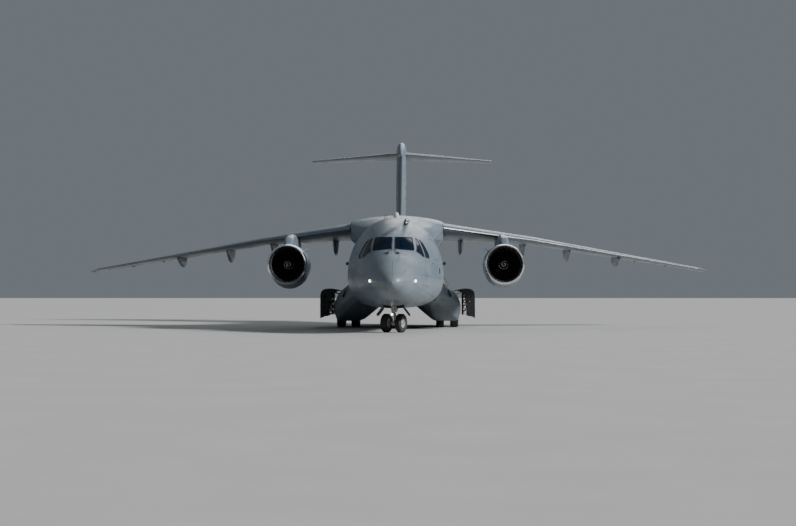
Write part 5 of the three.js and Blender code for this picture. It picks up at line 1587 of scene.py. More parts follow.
# Sponsons. Bulged fairings along the lower sides that hold the main landing gear. They grow out of the
# fuselage, are deepest round the wheel wells and close in again beside the ramp.
SPONSON_SMALL = [
    [1.300, 1.400], [1.450, 1.330], [1.700, 1.380], [1.800, 1.390], [1.980, 1.440], [2.010, 1.480],
    [2.140, 1.700], [2.190, 1.850], [2.230, 2.050], [2.260, 2.250], [2.150, 2.400], [1.800, 2.200],
]
SPONSON_FULL = [
    [0.900, 1.250], [1.050, 1.080], [1.870, 0.400], [2.050, 0.355], [3.080, 0.355], [3.230, 0.430],
    [3.350, 0.850], [3.360, 1.300], [3.070, 1.880], [2.560, 2.300], [2.150, 2.560], [1.800, 2.400],
]
SPONSON_AFT = [*SPONSON_FULL[:8], [2.870, 2.100], [2.540, 2.800], [2.200, 3.150], [1.800, 2.600]]
SPONSON_RISES, SPONSON_GROWN = (16.5, 19.5), (11.3, 14.9, 19.2, 24.2)
WELL = {"inner": 1.96, "from": 15.15, "to": 18.15, "roof": 1.72}
# Ram-air scoop: x, station and height, its three corners, and how it grows from the lip back and in again
INLET_AT = (2.66, 13.05, 1.76)
INLET_SHAPE = [[0.02, 0.24], [-0.16, -0.18], [0.20, -0.12]]
INLET_LINE = [[0.0, 0.92], [0.03, 1.0], [0.5, 1.05], [1.3, 0.8], [1.3, 0.5], [0.5, 0.7], [0.03, 0.84]]
INLET_KINDS = [0, 0, 0, 1, 1, 1, 1]


def eased(points, rounds=3):
    """A closed outline with its corners cut to a smooth curve."""
    points = np.array(points, float)
    for _ in range(rounds):
        after = np.roll(points, -1, 0)
        points = np.stack([points * 0.82 + after * 0.18, points * 0.18 + after * 0.82], axis=1).reshape(-1, 2)
    return points


def sponson_ring(s):
    start, full_from, full_to, end = SPONSON_GROWN
    grown = ease(min((s - start) / (full_from - start), (end - s) / (end - full_to)))
    rise = ease((s - SPONSON_RISES[0]) / (SPONSON_RISES[1] - SPONSON_RISES[0]))
    full = np.array(SPONSON_FULL) * (1 - rise) + np.array(SPONSON_AFT) * rise
    return eased(np.array(SPONSON_SMALL) * (1 - grown) + full * grown)


def sponson_panels(made):
    return panels(made, made.y - 0.1, made.z - 0.55, 2.24, 0.62)


# a little darker than the fuselage's paint: painted shade on these low sides
sponson_paint = paint("sponson_paint", [c * 0.93 for c in PAINT], sponson_panels, (1, 0.14, 1), 0.46)
well_paint = Finish("well_paint", Roughness=0.7)
soot = well_paint.noise(2.5, 7).ramp(0.35, 0.7)
well_paint.wear(
    Base_Color=well_paint.blend(soot, (0.10, 0.105, 0.10), (0.022, 0.022, 0.022)),
    Normal=well_paint.relief(well_paint.y.lines(0.35, 0.04), 0.02),
)
for name, side in SIDES:
    rings = [across([(x, station(s), z) for x, z in sponson_ring(s)], side) for s in stops(11.3, 24.2, 0.1)]
    sponson = skin(f"sponson_{name}_shell", rings)
    carve(sponson, hull_tool(BREAK_CABIN, 25.5, 0.14))
    beside = [(0.70, 19.60), (RAMP["half"] + 0.03, 21.25), (RAMP["half"] + 0.03, 24.6), (0.70, 24.6)]
    carve(sponson, prism("tool", [(side * x, station(s)) for x, s in beside], "z", 0, 3.4, kind=1))
    wells = sorted((side * WELL["inner"], side * 3.6))
    carve(sponson, block("tool", *wells, station(WELL["from"]), station(WELL["to"]), 0, WELL["roof"], kind=1))
    fit(sponson, [sponson_paint, well_paint], "airframe", [f"sponson_{name}"])

    # a three-cornered ram-air scoop on the sponson's shoulder, open in front; its inside takes the black seal
    # finish as painted shade
    rings = []
    for ds, size in INLET_LINE:
        corner = rounded(np.array(INLET_SHAPE) * size, 0.04)
        x0, s0, z0 = INLET_AT
        rings.append(across([(x0 + x, station(s0 + ds), z0 + z) for x, z in corner], side))
    inlet = skin(f"sponson_inlet_{name}", rings, loop=True, kind=np.array(INLET_KINDS)[:, None])
    fit(inlet, [sponson_paint, edge_seal], "airframe")


# Main gear doors. A bent outer skin stands open beside each pair of wheels. Deep black webs with holes in
# them cross its inner face, tied by rails and braces, and lattice arms join its top edge to the sponson.
GEAR_DOOR = {"from": 15.25, "to": 18.05, "thick": 0.030}
GEAR_DOOR_LINE = [[2.95, 1.960], [3.50, 2.080], [3.90, 2.060], [4.08, 1.930], [4.13, 1.700], [4.13, 0.500]]
GEAR_WEBS, WEB_THICK, GEAR_ARMS = 5, 0.030, 5
GEAR_WEB = [
    [3.16, 1.985], [3.52, 2.058], [3.88, 2.030], [4.045, 1.910], [4.100, 1.700], [4.100, 0.560],
    [3.760, 0.600], [3.660, 1.560], [3.600, 1.780], [3.420, 1.900],
]
WEB_HOLES = [[3.930, 0.800, 0.045], [3.915, 1.080, 0.050], [3.900, 1.370, 0.055], [3.880, 1.660, 0.055]]
LATTICE_X, LATTICE_Z = (3.70, 3.50), (0.66, 1.82)
RAILS = [[3.78, 0.62], [3.745, 0.95], [3.71, 1.28], [3.68, 1.60]]
# Arms from the door to the sponson: inner and outer x and height, radius, number of the finish
GEAR_DOOR_ARMS = [[2.72, 1.90, 3.25, 2.00, 0.022, 1], [3.02, 1.72, 3.72, 1.98, 0.018, 2]]


def bend_line(points, radius):
    """An open line with its inner corners rounded."""
    points = np.array(points, float)
    made = [points[0]]
    for before, corner, after in zip(points, points[1:], points[2:]):
        made += corner_bend(before, corner, after, radius)
    return np.array([*made, points[-1]])


def thickened(line, thick):
    """A closed outline round an open line, thick to its inner side."""
    along = np.gradient(line, axis=0)
    along /= np.linalg.norm(along, axis=1)[:, None]
    inner = line + np.stack([along[:, 1], -along[:, 0]], axis=1) * thick
    return [*line, *inner[::-1]]


# darker than the fuselage's paint: painted shade on the doors low under the sponsons
gear_door_paint = paint("gear_door_paint", [c * 0.85 for c in PAINT], sponson_panels, Roughness=0.5)
frame_black = Finish("stiffener_paint", Roughness=0.55)
chips = frame_black.noise(22, 7).ramp(0.60, 0.72)
frame_black.wear(
    Base_Color=frame_black.blend(chips * 0.5, (0.018, 0.019, 0.021), (0.09, 0.09, 0.09)),
    Normal=frame_black.relief(frame_black.noise(80, 4), 0.001),
)
door_line = bend_line(GEAR_DOOR_LINE, 0.14)
for name, side in SIDES:
    outline = [(side * x, z) for x, z in thickened(door_line, GEAR_DOOR["thick"])]
    shell = soften(prism("skin", outline, "y", station(GEAR_DOOR["from"]), station(GEAR_DOOR["to"])), 0.004)
    y0, y1, bars = station(GEAR_DOOR["from"]) + 0.02, station(GEAR_DOOR["to"]) - 0.02, []
    step = (y1 - y0 - WEB_THICK) / (GEAR_WEBS - 1)
    web = prism("web", rounded([(side * x, z) for x, z in GEAR_WEB], 0.05), "y", y0, y0 + WEB_THICK, kind=1)
    holes = [
        rod("tool", (side * x, y0 - 0.1, z), (side * x, y0 + 0.1, z), r, 20, kind=1)
        for x, z, r in WEB_HOLES
    ]
    webs = row_recipe.serve(carve(web, *holes), frame_black, 1, Count=GEAR_WEBS, Step=(0, step, 0))
    zigzag = [
        (side * LATTICE_X[k % 2], y0 + WEB_THICK / 2, z)
        for k, z in enumerate(np.linspace(*LATTICE_Z, 9))
    ]
    lattice = joined("lattice", *(rod("bar", a, b, 0.014, 8) for a, b in zip(zigzag, zigzag[1:])))
    lattice = row_recipe.serve(lattice, bright_metal, 2, Count=GEAR_WEBS, Step=(0, step, 0))
    middles = y0 + WEB_THICK / 2 + step * np.arange(GEAR_WEBS)
    for y in middles:
        ends = [(side * LATTICE_X[1], y, z) for z in LATTICE_Z]
        bars.append(rod("post", *ends, 0.018, 10, kind=1))
    for x, z in RAILS:
        bars.append(rod("rail", (side * x, y0, z), (side * x, y1, z), 0.022, 10, kind=1))
    for ends in zip(middles, middles[1:]):
        for (low_x, low_z), (high_x, high_z) in zip(RAILS, RAILS[1:]):
            low, high = (side * low_x, ends[0], low_z), (side * high_x, ends[1], high_z)
            bars.append(rod("brace", low, high, 0.013, 8, kind=2))
            ends = ends[::-1]
    for y in np.linspace(y0 + 0.25, y1 - 0.25, GEAR_ARMS):
        for x_in, z_in, x_out, z_out, radius, kind in GEAR_DOOR_ARMS:
            bars.append(rod("arm", (side * x_in, y, z_in), (side * x_out, y, z_out), radius, 10, kind=kind))
    door = joined(f"main_gear_door_{name}_panel", shell, webs, lattice, *bars)
    fit(
        door, [gear_door_paint, frame_black, bright_metal], "airframe",
        [f"main_gear_door_{name}"],
    )


# Wheels. Two forged rims on one axle carry wide smooth-treaded tyres with four grooves round each. Brake
# packs sit inside the main wheels, and a ring of tie bolts holds each rim's halves together.
MAIN_WHEEL = {"radius": 0.535, "width": 0.410, "spacing": 0.770, "hub": 0.260, "axle": 0.060, "bolts": 12}
NOSE_WHEEL = {"radius": 0.432, "width": 0.290, "spacing": 0.740, "hub": 0.200, "axle": 0.045, "bolts": 10}
BORE_PLAY = 0.00085
GROOVES, GROOVE_WIDE, GROOVE_DEEP = (-0.54, -0.18, 0.18, 0.54), 0.010, 0.009
# Outlines as shares of half the width and of the radius: a tyre's side and the inner part of a rim
TYRE_WALL = [(0.92, 0.62), (0.99, 0.72), (1.0, 0.80), (0.96, 0.88), (0.89, 0.92)]
RIM_FACE = [(0.34, 0.30), (0.36, 0.20), (0.58, 0.17)]
# Profiles of what sits on a rim: distance along and radius, which for the cap is a share of the tyre's
BOLT = [(0, 0), (0, 0.011), (0.012, 0.011), (0.012, 0)]
RIM_HOLE = [(0, 0), (0, 0.016), (0.4, 0.016), (0.4, 0)]
HUB_CAP = [(0, 0), (0, 0.16), (0.03, 0.15), (0.045, 0.09), (0.048, 0)]
BRAKE = [(0, 0.19), (0.03, 0.20), (0.035, 0.175), (0.05, 0.20), (0.065, 0.175), (0.08, 0.20)]

rubber = Finish("tyre_rubber", Roughness=0.85)
dust = rubber.noise(7, 8).ramp(0.35, 0.75)
rubber.wear(
    Base_Color=rubber.blend(dust * 0.5, (0.016, 0.016, 0.017), (0.075, 0.072, 0.068)),
    Roughness=dust * 0.15 + 0.75,
    Normal=rubber.relief(rubber.noise(150, 4), 0.001),
)
rim_paint = Finish("rim_paint", Roughness=0.45)
brake_dust = rim_paint.noise(16, 7).ramp(0.40, 0.70)
rim_paint.wear(
    Base_Color=rim_paint.blend(brake_dust * 0.6, (0.48, 0.49, 0.49), (0.10, 0.095, 0.09)),
    Roughness=brake_dust * 0.2 + 0.40,
)


def wheel(size, x, out):
    """A tyre, rim and bolts at x on the axle, whose outer face looks along out."""
    r, half, hub = size["radius"], size["width"] / 2, size["hub"]
    crown = [(-0.80, 0.945), (-0.72, 0.975), (-0.6, 0.990)]
    for g in GROOVES:
        crown += [(g - GROOVE_WIDE / half, 1.0), (g - GROOVE_WIDE / half + 0.01, 1 - GROOVE_DEEP / r)]
        crown += [(g + GROOVE_WIDE / half - 0.01, 1 - GROOVE_DEEP / r), (g + GROOVE_WIDE / half, 1.0)]
    crown += [(0.6, 0.990), (0.72, 0.975), (0.80, 0.945)]
    wall = [(0.62, hub / r + 0.005), (0.80, hub / r + 0.03), *TYRE_WALL]
    line = [(-a, b) for a, b in wall] + crown + wall[::-1]
    tyre = turned("tyre", (x, 0, 0), (x + 1, 0, 0), [(a * half, b * r) for a, b in line], 72, loop=True)
    rim_line = [
        (0.62, hub / r + 0.006), (0.74, hub / r + 0.020), (0.78, hub / r - 0.004), (0.70, hub / r - 0.03),
    ]
    rim_line += [(0.42, hub / r - 0.05), *RIM_FACE, (0.60, (size["axle"] - 0.001) / r)]
    rim_line += [(-a, b) for a, b in rim_line[::-1]]
    rim = turned(
        "rim", (x, 0, 0), (x + 1, 0, 0), [(a * half, b * r) for a, b in rim_line], 56, loop=True, kind=1,
    )
    face = x + out * 0.345 * half
    repeats = {"Count": size["bolts"], "Centre": (x, 0, 0), "Axis": (1.0, 0.0, 0.0)}
    z = 0.30 * r + 0.018
    bolt = turned("bolt", (face, 0, z), (face + out, 0, z), BOLT, 6, kind=2)
    ring_recipe.serve(bolt, bright_metal, 2, **repeats)
    z = hub - 0.062
    hole = turned("tool", (face - out * 0.2, 0, z), (face + out * 0.2, 0, z), RIM_HOLE, 12, kind=1)
    carve(rim, ring_recipe.serve(hole, bright_metal, 1, **repeats))
    start = x + out * 0.50 * half
    cap = turned(
        "cap", (start, 0, 0), (start + out, 0, 0), [(d, share * r) for d, share in HUB_CAP], 32, kind=2,
    )
    return [tyre, rim, bolt, cap]


def wheel_pair(name, size, place, turn, body, nodes):
    parts = wheel(size, -size["spacing"] / 2, -1) + wheel(size, size["spacing"] / 2, 1)
    parts.append(
        rod("axle", (-size["spacing"] / 2, 0, 0), (size["spacing"] / 2, 0, 0), size["axle"], 32, kind=2)
    )
    if size is MAIN_WHEEL:
        for x in (-1, 1):
            inner = x * (size["spacing"] / 2 - size["width"] / 2)
            pack = [(0, size["axle"]), *BRAKE, (0.10, size["axle"])]
            parts.append(turned("brake", (inner + x * 0.06, 0, 0), (inner - x, 0, 0), pack, 40, kind=3))
    pair = joined(name, *parts)
    pair.data.transform(Matrix.Translation(place) @ Matrix.Rotation(turn, 4, "Z"))
    return fit(pair, [rubber, rim_paint, bright_metal, hot_metal], body, nodes, sharp=38)


TRACK_X, MAIN_AXLES = 2.66, [["front", 15.9], ["rear", 17.3]]
for name, side in SIDES:
    for place, s in MAIN_AXLES:
        at = (side * TRACK_X, station(s), MAIN_WHEEL["radius"])
        node = f"main_wheels_{place}_{name}"
        wheel_pair(f"{node}_pair", MAIN_WHEEL, at, 0.0, node, [node])


# Main gear legs. Each is a white forged leg from the well's roof to the axle between its two wheels, with a
# chromed piston, a brace, torque links and brake lines.
gear_paint = Finish("gear_paint", Roughness=0.4, Coat_Weight=0.3)
oil = gear_paint.noise(9, 8, (1, 1, 0.3)).ramp(0.50, 0.74)
gear_paint.wear(
    Base_Color=gear_paint.blend(oil * 0.6, (0.60, 0.61, 0.60), (0.14, 0.12, 0.10)),
    Roughness=oil * 0.3 + 0.35,
    Normal=gear_paint.relief(gear_paint.noise(60, 5), 0.001),
)
chrome = Finish("strut_chrome", Metallic=1.0)
rings_of_oil = chrome.noise(4, 6, (1, 1, 6)).ramp(0.4, 0.8)
chrome.wear(
    Base_Color=chrome.blend(rings_of_oil, (0.75, 0.75, 0.76), (0.5, 0.49, 0.47)),
    Roughness=rings_of_oil * 0.12 + 0.06,
)


LEG_FINISHES = [gear_paint, chrome, bright_metal, edge_seal]
# Cylinder of a main leg, up to where its plain upper part starts: distance up, radius
MAIN_CYLINDER = [
    (0, 0), (0, 0.078), (0.03, 0.088), (0.06, 0.098), (0.10, 0.098), (0.12, 0.088), (0.62, 0.088),
    (0.66, 0.10),
]
BRAKE_LINE_X, BRAKE_LINE_RADIUS = 0.10, 0.009


def hollow_hub(half, radius, bore):
    """The sleeve that an axle turns in, across the foot of a leg."""
    line = [(-half, bore), (-half, radius - 0.01), (-half + 0.01, radius)]
    line += [(-d, r) for d, r in line[::-1]]
    return turned("sleeve", (0, 0, 0), (1, 0, 0), line, 40, loop=True)


def torque_links(top, bottom, reach):
    """Two hinged scissor links that keep an axle square to its leg."""
    knee = (bottom + top) / 2
    made = []
    for x in (-0.055, 0.055):
        for z in (top, bottom):
            made.append(rod("link", (x, 0.06, z), (x * 0.5, reach, knee), 0.020, 10))
    made.append(rod("knee", (-0.06, reach, knee), (0.06, reach, knee), 0.026, 14, kind=2))
    return made


for name, side in SIDES:
    for place, s in MAIN_AXLES:
        top = WELL["roof"] - SEAT - MAIN_WHEEL["radius"]
        cylinder = [*MAIN_CYLINDER, (top - 0.36, 0.10), (top - 0.34, 0)]
        parts = [hollow_hub(0.095, 0.125, MAIN_WHEEL["axle"] + BORE_PLAY)]
        parts.append(rod("piston", (0, 0, 0.115), (0, 0, 0.42), 0.066, 32, kind=1))
        parts.append(turned("cylinder", (0, 0, 0.34), (0, 0, 1), cylinder, 40))
        parts.append(soften(block("head", -0.23, 0.23, -0.18, 0.18, top - 0.06, top), 0.012))
        parts.append(soften(block("foot", -0.09, 0.09, -0.30, 0.0, top - 0.06, top), 0.010))
        parts.append(rod("brace", (0, -0.02, 0.52), (0, -0.26, top - 0.03), 0.045, 20))
        parts += torque_links(0.44, 0.13, 0.25)
        for x in (-BRAKE_LINE_X, BRAKE_LINE_X):
            line = [(x * 0.9, 0.03, 0.10), (x * 1.25, 0.10, 0.20), (x * 1.25, 0.12, 0.40)]
            line += [(x, 0.06, 0.75), (x, 0.02, top - 0.05)]
            parts += [rod("line", a, b, BRAKE_LINE_RADIUS, 8, kind=3) for a, b in zip(line, line[1:])]
        leg = joined(f"main_gear_leg_{place}_{name}_strut", *parts)
        leg.data.transform(Matrix.Translation((side * TRACK_X, station(s), MAIN_WHEEL["radius"])))
        fit(leg, LEG_FINISHES, "airframe", [f"main_gear_leg_{place}_{name}"])


# Nose landing gear. A fixed upper leg in the bay, and a lower strut that steers: here it stands turned to
# starboard, as it was parked. It carries the taxi lamp, torque links and the tow fitting.
NOSE_AXLE, STEERED, STEER_JOINT_Z, TAXI_LAMP = 4.0, math.radians(-25.5), 1.12, 0.062
COLLAR = [(0, 0), (0, 0.115), (0.02, 0.125), (0.09, 0.125), (0.11, 0.105), (0.11, 0)]
NOSE_CYLINDER = [(0, 0), (0, 0.070), (0.02, 0.080), (0.20, 0.080), (0.22, 0.115), (0.24, 0.122)]
roof = DECK_Z - 0.1 - SEAT
y = station(NOSE_AXLE)
upper = [rod("barrel", (0, y, STEER_JOINT_Z), (0, y, roof), 0.105, 40)]
upper.append(turned("collar", (0, y, STEER_JOINT_Z), (0, y, 3), COLLAR, 40))
upper.append(rod("brace", (0, y, 1.35), (0, y - 0.9, roof - 0.04), 0.050, 24))
upper.append(soften(block("brace_foot", -0.16, 0.16, y - 1.0, y - 0.8, roof - 0.08, roof), 0.012))
upper.append(soften(block("head", -0.26, 0.26, y - 0.16, y + 0.16, roof - 0.07, roof), 0.012))
upper.append(rod("trunnion", (-0.38, y, roof - 0.25), (0.38, y, roof - 0.25), 0.058, 28))
for x in (-0.13, 0.13):
    upper.append(rod("steering_jack", (x, y + 0.11, 1.22), (x, y + 0.11, 1.55), 0.035, 18, kind=1))
    upper.append(rod("line", (x * 0.9, y + 0.11, 1.50), (x * 0.8, y + 0.10, roof - 0.02), 0.010, 8, kind=3))
fit(joined("nose_gear_leg_upper", *upper), LEG_FINISHES, "airframe", ["nose_gear_leg"])
lamp_glass = Finish("lamp_glass", Roughness=0.1, Coat_Weight=1.0, Emission_Strength=9.0)
flutes = lamp_glass.x.lines(0.012, 0.005)
lamp_glass.wear(
    Base_Color=lamp_glass.blend(flutes, (0.9, 0.88, 0.82), (0.6, 0.6, 0.58)),
    Emission_Color=lamp_glass.blend(flutes, (1.0, 0.93, 0.78), (0.7, 0.62, 0.5)),
)


def lamp(at, way, radius, deep=0.09):
    """The metal bowl and the fluted lens of a lamp that shines along way."""
    at, way = np.array(at, float), np.array(way, float)
    bowl = [(-deep, 0), (-deep, radius * 0.4), (-deep * 0.5, radius * 0.85), (0, radius), (0.012, radius)]
    bowl += [(0.012, radius * 0.88), (-0.004, radius * 0.84), (-0.006, 0)]
    lens = [(-0.0055, 0), (-0.0055, radius * 0.83), (0.004, radius * 0.78), (0.010, radius * 0.4), (0.012, 0)]
    return turned("bowl", at, at + way, bowl, 32), turned("lens", at, at + way, lens, 32)


top = STEER_JOINT_Z - NOSE_WHEEL["radius"] - SEAT
lower = [hollow_hub(0.085, 0.098, NOSE_WHEEL["axle"] + BORE_PLAY)]
lower.append(rod("piston", (0, 0, 0.088), (0, 0, 0.42), 0.058, 36, kind=1))
cylinder = [*NOSE_CYLINDER, (top - 0.31, 0.122), (top - 0.30, 0.11), (top - 0.30, 0)]
lower.append(turned("cylinder", (0, 0, 0.30), (0, 0, 1), cylinder, 40))
lower += torque_links(0.44, 0.10, 0.21)
lower.append(rod("tow_eye", (-0.05, -0.105, 0.0), (0.05, -0.105, 0.0), 0.024, 18, kind=2))
lower.append(rod("tow_lug", (0, -0.08, 0.0), (0, -0.105, 0.0), 0.030, 16))
lower.append(rod("lamp_arm", (0, -0.05, 0.47), (0.03, -0.20, 0.40), 0.016, 12))
bowl, lens = lamp((0.03, -0.24, 0.40), (0, -1, 0), TAXI_LAMP)
lens.name = "taxi_lamp_lens"
bowl.data.polygons.foreach_set("material_index", [2] * len(bowl.data.polygons))
strut = joined("nose_gear_strut_lower", *lower, bowl)
steering = Matrix.Translation((0, y, NOSE_WHEEL["radius"])) @ Matrix.Rotation(STEERED, 4, "Z")
for piece in (strut, lens):
    piece.data.transform(steering)
fit(strut, LEG_FINISHES, "nose_gear_steering", ["nose_gear_strut"])
fit(lens, [lamp_glass], "nose_gear_steering")
hub = (0, y, NOSE_WHEEL["radius"])
wheel_pair("nose_wheels_pair", NOSE_WHEEL, hub, STEERED, "nose_wheels", ["nose_wheels"])


# Nose gear doors. Thin panels that hang open and splayed from both edges of the bay, as they are while the
# landing gear is down. Ribs stiffen their inner faces.
NOSE_DOOR = {"from": 2.76, "to": 4.50, "deep": 0.47, "splay": math.radians(36), "thick": 0.035}
NOSE_DOOR_RIBS = [2.95, 3.45, 3.95, 4.35]
for name, side in SIDES:
    dx = math.sin(NOSE_DOOR["splay"]) * NOSE_DOOR["deep"]
    dz = -math.cos(NOSE_DOOR["splay"]) * NOSE_DOOR["deep"] - 0.12
    rings = []
    for s in stops(NOSE_DOOR["from"], NOSE_DOOR["to"], 0.1):
        x, z = BAY["half"] - SEAT, smooth(HULL, s)[0][4] + 0.12
        outer = bend_line([[x, z], [x, z - 0.14], [x + dx, z + dz]], 0.05)
        outline = [*outer, *(outer - (NOSE_DOOR["thick"], 0))[::-1]]
        rings.append(across([(a, station(s), b) for a, b in outline], side))
    panel = soften(skin("panel", rings), 0.005)
    ribs = []
    for s in NOSE_DOOR_RIBS:
        x, z = BAY["half"] - 0.045, smooth(HULL, s)[0][4] + 0.12
        a = across((x, station(s), z - 0.14), side)
        b = across((x + dx * 0.92, station(s), z + (dz + 0.12) * 0.92 - 0.13), side)
        ribs.append(rod("rib", a, b, 0.020, 8, kind=1))
    door = joined(f"nose_gear_door_{name}_panel", panel, *ribs)
    fit(door, [gear_door_paint, frame_black], "airframe", [f"nose_gear_door_{name}"])


# Refuelling probe. A fixed steel tube that reaches forward over the port side of the cabin roof. It has a
# polished nozzle, a rubber collar behind that, and a fairing at its foot.
PROBE_ENDS = [(0.58, 2.40, 4.965), (0.58, 6.90, 5.290)]
# Distance behind the tip, radius, number of the finish
PROBE_LINE = [
    [0.00, 0.000, 1], [0.00, 0.012, 1], [0.02, 0.036, 1], [0.08, 0.051, 1], [0.19, 0.052, 1],
    [0.20, 0.040, 1], [0.30, 0.040, 2], [0.32, 0.100, 2], [0.34, 0.105, 2], [0.41, 0.105, 2],
    [0.43, 0.075, 0], [2.25, 0.078, 0], [2.60, 0.118, 0], [4.40, 0.125, 0], [4.51, 0.000, 0],
]
ends = [(x, station(s), z) for x, s, z in PROBE_ENDS]
line = np.array(PROBE_LINE)
probe = turned("refuelling_probe_tube", *ends, line[:, :2], 40, kind=line[:-1, 2:].astype(int))
carve(probe, hull_tool(4.0, 8.5, 0.1))
fit(probe, [radome_paint, bright_metal, edge_seal], "airframe", ["refuelling_probe"])


# Landing lights and position fittings. Each is a small round lamp or sensor whose foot is let into the skin
# at the place where a line from outside meets it, and which faces as the skin does or straight ahead.
def landing(name, origin, way):
    """Where a line meets a finished piece, and which way its skin faces there."""
    bpy.context.view_layer.update()
    hit, place, normal, _ = bpy.data.objects[name].ray_cast(Vector(origin), Vector(way))
    if not hit:
        raise RuntimeError(f"{name} is not on that line")
    return np.array(place), np.array(normal)


# Lamps: name, piece they sit in, x, height, radius, finish of the lens
FRONT_LAMPS = [
    ["landing_light", "nose_section", 1.000, 2.34, 0.075, lamp_glass],
    ["sponson_light", "sponson_{}_shell", 2.41, 1.50, 0.040, glass],
]
AHEAD = -30.0
for title, owner, x, z, radius, lens_finish in FRONT_LAMPS:
    bowls, lenses = [], []
    for name, side in SIDES:
        place, _ = landing(owner.format(name), (side * x, AHEAD, z), (0, 1, 0))
        bowl, lens = lamp(place - (0, 0.012, 0), (side * 0.05, -1, 0), radius, 0.16)
        bowls.append(bowl)
        lenses.append(lens)
    fit(joined(f"{title}_bowls", *bowls), [bright_metal], "airframe")
    fit(joined(f"{title}_lenses", *lenses), [lens_finish], "airframe")

# Profiles of round fittings: distance out of the skin, radius
BALL = [
    (-0.02, 0), (-0.02, 0.07), (0.03, 0.072), (0.04, 0.060), (0.06, 0.078),
    (0.10, 0.086), (0.14, 0.076), (0.165, 0.045), (0.172, 0),
]
DOME = [
    (-0.06, 0), (-0.06, 0.17), (0.02, 0.17), (0.03, 0.145), (0.10, 0.150),
    (0.20, 0.132), (0.27, 0.090), (0.30, 0.040), (0.306, 0),
]
BEACON = [(-0.05, 0), (-0.05, 0.10), (0.02, 0.10), (0.03, 0.075), (0.09, 0.070), (0.12, 0.045), (0.13, 0)]
STUD = [(-0.01, 0), (-0.01, 0.035), (0.012, 0.032), (0.018, 0)]
sensor_black = Finish("sensor_black", Roughness=0.12, Coat_Weight=0.6)
sheen = sensor_black.noise(18, 4)
sensor_black.wear(
    Base_Color=sensor_black.blend(sheen, (0.004, 0.005, 0.007), (0.016, 0.018, 0.022)),
    Roughness=sheen * 0.2 + 0.05,
)
dome_shell = Finish("dome_shell", Roughness=0.35)
chalk = dome_shell.noise(6, 6).ramp(0.35, 0.7)
dome_shell.wear(
    Base_Color=dome_shell.blend(chalk, (0.62, 0.64, 0.64), (0.46, 0.47, 0.46)),
    Roughness=chalk * 0.2 + 0.28,
    Normal=dome_shell.relief(dome_shell.noise(50, 4), 0.001),
)
# Ways of the lines that find a fitting's place: from above, from below and from its own side
UP, DOWN, IN = (0, 0, -1), (0, 0, 1), (-1, 0, 0)
# Round fittings: name, piece, x, station, height and the way there, profile, finish, slot, how many
FITTINGS = [
    ["missile_sensors", "middle_section", 4.0, 9.60, 3.27, IN, BALL, sensor_black, "glass", 2],
    ["aft_sensors", "tail_section", 4.0, 30.5, 4.40, IN, BALL, sensor_black, "glass", 2],
    ["satellite_dome", "wing_fairing", 0.0, 11.50, 8.0, UP, DOME, dome_shell, "grey_paint", 1],
    ["upper_beacon", "wing_fairing", 0.0, 17.20, 8.0, UP, BEACON, nav_glass["left"], "glass", 1],
    ["lower_beacon", "middle_section", 0.0, 10.40, -3.0, DOWN, BEACON, nav_glass["left"], "glass", 1],
    ["static_ports", "nose_section", 4.0, 5.45, 2.95, IN, STUD, bright_metal, "cabin_steel", 2],
    ["shoulder_studs", "nose_section", 4.0, 7.70, 4.60, IN, STUD, edge_seal, "cabin_steel", 2],
    ["sponson_studs_front", "sponson_{}_shell", 4.0, 14.20, 1.20, IN, STUD, edge_seal, "cabin_steel", 2],
]
for title, owner, x, s, z, way, profile, finish, slot, count in FITTINGS:
    made = []
    for name, side in SIDES[:count]:
        place, normal = landing(owner.format(name), (side * x, station(s), z), across(way, side))
        made.append(turned(title, place, place + normal, profile, 28))
    fit(joined(title, *made), [finish], "airframe")


# Air-data probes and aerials. The probes are heated tubes on short masts, bent to face the wind. The
# aerials are thin swept blades, four on the centre line and two on top, a little to starboard of it.
# Probes: station, height, length of the mast, length of the tube
AIR_PROBES = [[2.40, 2.18, 0.09, 0.16], [3.10, 2.12, 0.09, 0.16], [4.90, 3.17, 0.11, 0.20]]
PROBE_FOOT = [(-0.02, 0), (-0.02, 0.05), (0.006, 0.046), (0.010, 0)]
# Aerials: piece they stand on, x, station, 1 above or -1 below, height
AERIALS = [
    ["nose_section", -0.40, 7.30, 1, 0.22],
    ["middle_section", -0.55, 9.30, 1, 0.26],
    ["wing_fairing", 0.0, 15.00, 1, 0.24],
    ["middle_section", 0.0, 8.80, -1, 0.20],
    ["middle_section", 0.0, 12.60, -1, 0.28],
    ["middle_section", 0.0, 15.20, -1, 0.22],
]
probes, blades = [], []
for s, z, out, long in AIR_PROBES:
    for _, side in SIDES:
        place, normal = landing("nose_section", (side * 4, station(s), z), (-side, 0, 0))
        tip = place + normal * out
        probes.append(rod("mast", place - normal * 0.02, tip, 0.013, 12))
        probes.append(rod("tube", tip + (0, 0.02, 0), tip - (0, long, 0), 0.010, 12))
        probes.append(turned("foot", place, place + normal, PROBE_FOOT, 20))
for owner, x, s, up, tall in AERIALS:
    place, _ = landing(owner, (x, station(s), up * 9), (0, 0, -up))
    _, y, z = place
    foot, top = z - up * 0.06, z + up * tall
    outline = [(y - 0.02, foot), (y + 0.30, foot), (y + 0.36, top), (y + 0.22, top)]
    blades.append(soften(prism("aerial", rounded(outline, 0.03), "x", x - 0.012, x + 0.012), 0.005))
fit(joined("air_data_probes", *probes), [bright_metal], "airframe")
fit(joined("blade_aerials", *blades), [edge_seal], "airframe")


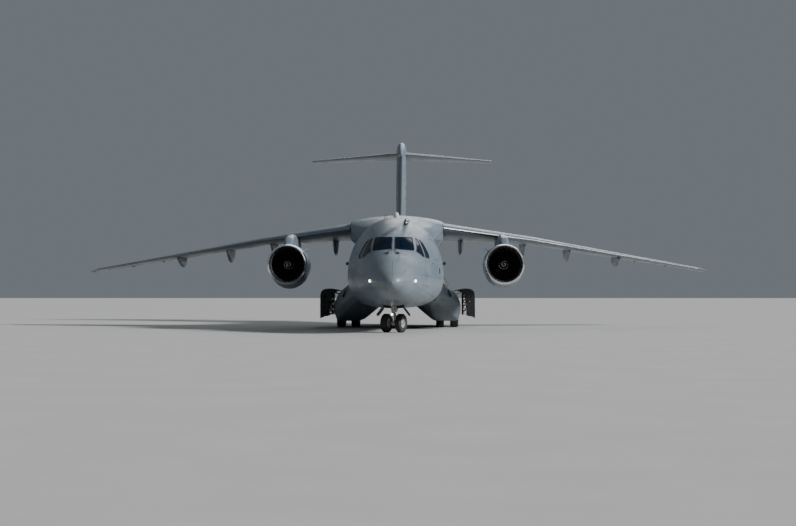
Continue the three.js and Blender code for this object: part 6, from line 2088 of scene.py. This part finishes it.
# Round windows. The crew door and both jump doors have a small pane in a riveted metal ring, and so have
# the sides of the hold ahead of the wing.
# Windows: piece they are in, body, station, height, sides
PORTS = [
    ["crew_door_panel", "crew_door", 6.575, 2.86, (1,)],
    ["middle_section", "airframe", 19.025, 2.95, (1, -1)],
    ["middle_section", "airframe", 11.20, 2.95, (1, -1)],
]
PORT_RING = [(-0.03, 0.125), (0.010, 0.125), (0.014, 0.150), (0.004, 0.175), (-0.03, 0.175)]
PORT_PANE = [(-0.02, 0), (-0.02, 0.126), (0.003, 0.124), (0.006, 0)]
for number, (owner, body, s, z, ways) in enumerate(PORTS):
    rings, panes = [], []
    for side in ways:
        place, normal = landing(owner, (side * 4, station(s), z), (-side, 0, 0))
        rings.append(turned("ring", place, place + normal, PORT_RING, 40, loop=True))
        panes.append(turned("pane", place, place + normal, PORT_PANE, 40))
    fit(joined(f"port_rings_{number}", *rings), [bright_metal], body)
    fit(joined(f"port_panes_{number}", *panes), [glass], body)


# Wing and tail trim. A rubber seal closes the joint of each wing with the fairing; small fairings cover the
# aileron hinges, and short rods on the fin's sides are aerials. The tail cone ends in an exhaust pipe.
AILERON_FAIRINGS = [13.2, 15.0]
FAIRING_LINE = [(0, 0), (0.05, 0.018), (0.30, 0.045), (0.62, 0.058), (0.86, 0.050), (0.88, 0)]
FIN_RODS, FIN_ROD_REACH = [7.70, 8.43], 0.30
# Exhaust pipe: distance behind the tail cone's end, radius
PIPE_LINE = [
    (-0.25, 0.15), (0.16, 0.15), (0.17, 0.145), (0.16, 0.13), (-0.20, 0.12), (-0.20, 0.0), (-0.25, 0.0),
]
PIPE_Z = 4.745
SEAL_WIDE, SEAL_PROUD = 0.028, 0.007
for name, side in SIDES:
    rings = span_rings(WING, (WING_ROOT, WING_ROOT + SEAL_WIDE), side, grow=SEAL_PROUD)
    seal = skin(f"wing_root_seal_{name}", rings)
    plan = control_room(WING, CONTROLS[0][1] - 0.2, CONTROLS[0][2], CONTROLS[0][3], CAMBER, FLAP_NOSE)
    carve(seal, prism("tool", [(side * x, y) for x, y in plan], "z", *WING_HEIGHTS))
    fit(seal, [edge_seal], "airframe")
    covers = []
    for x in AILERON_FAIRINGS:
        s, z, r, *_ = hinge_at(WING, x, CONTROLS[2][3])
        foot = across((x, station(s - r - 0.92), z - 0.070), side)
        covers.append(turned("cover", foot, foot + (0, 1, -0.02), FAIRING_LINE, 20))
    fit(joined(f"aileron_covers_{name}", *covers), [wing_paint], "airframe")
rods = []
for z in FIN_RODS:
    s = straight(FIN, z)[0] + 0.7
    rods.append(rod("rod", (-FIN_ROD_REACH, station(s), z), (FIN_ROD_REACH, station(s), z), 0.018, 12))
fit(joined("fin_aerials", *rods), [edge_seal], "airframe")
pipe = turned("tail_exhaust_pipe", (0, station(TAIL_END), PIPE_Z), (0, 99, PIPE_Z), PIPE_LINE, 40)
fit(pipe, [hot_metal], "airframe")
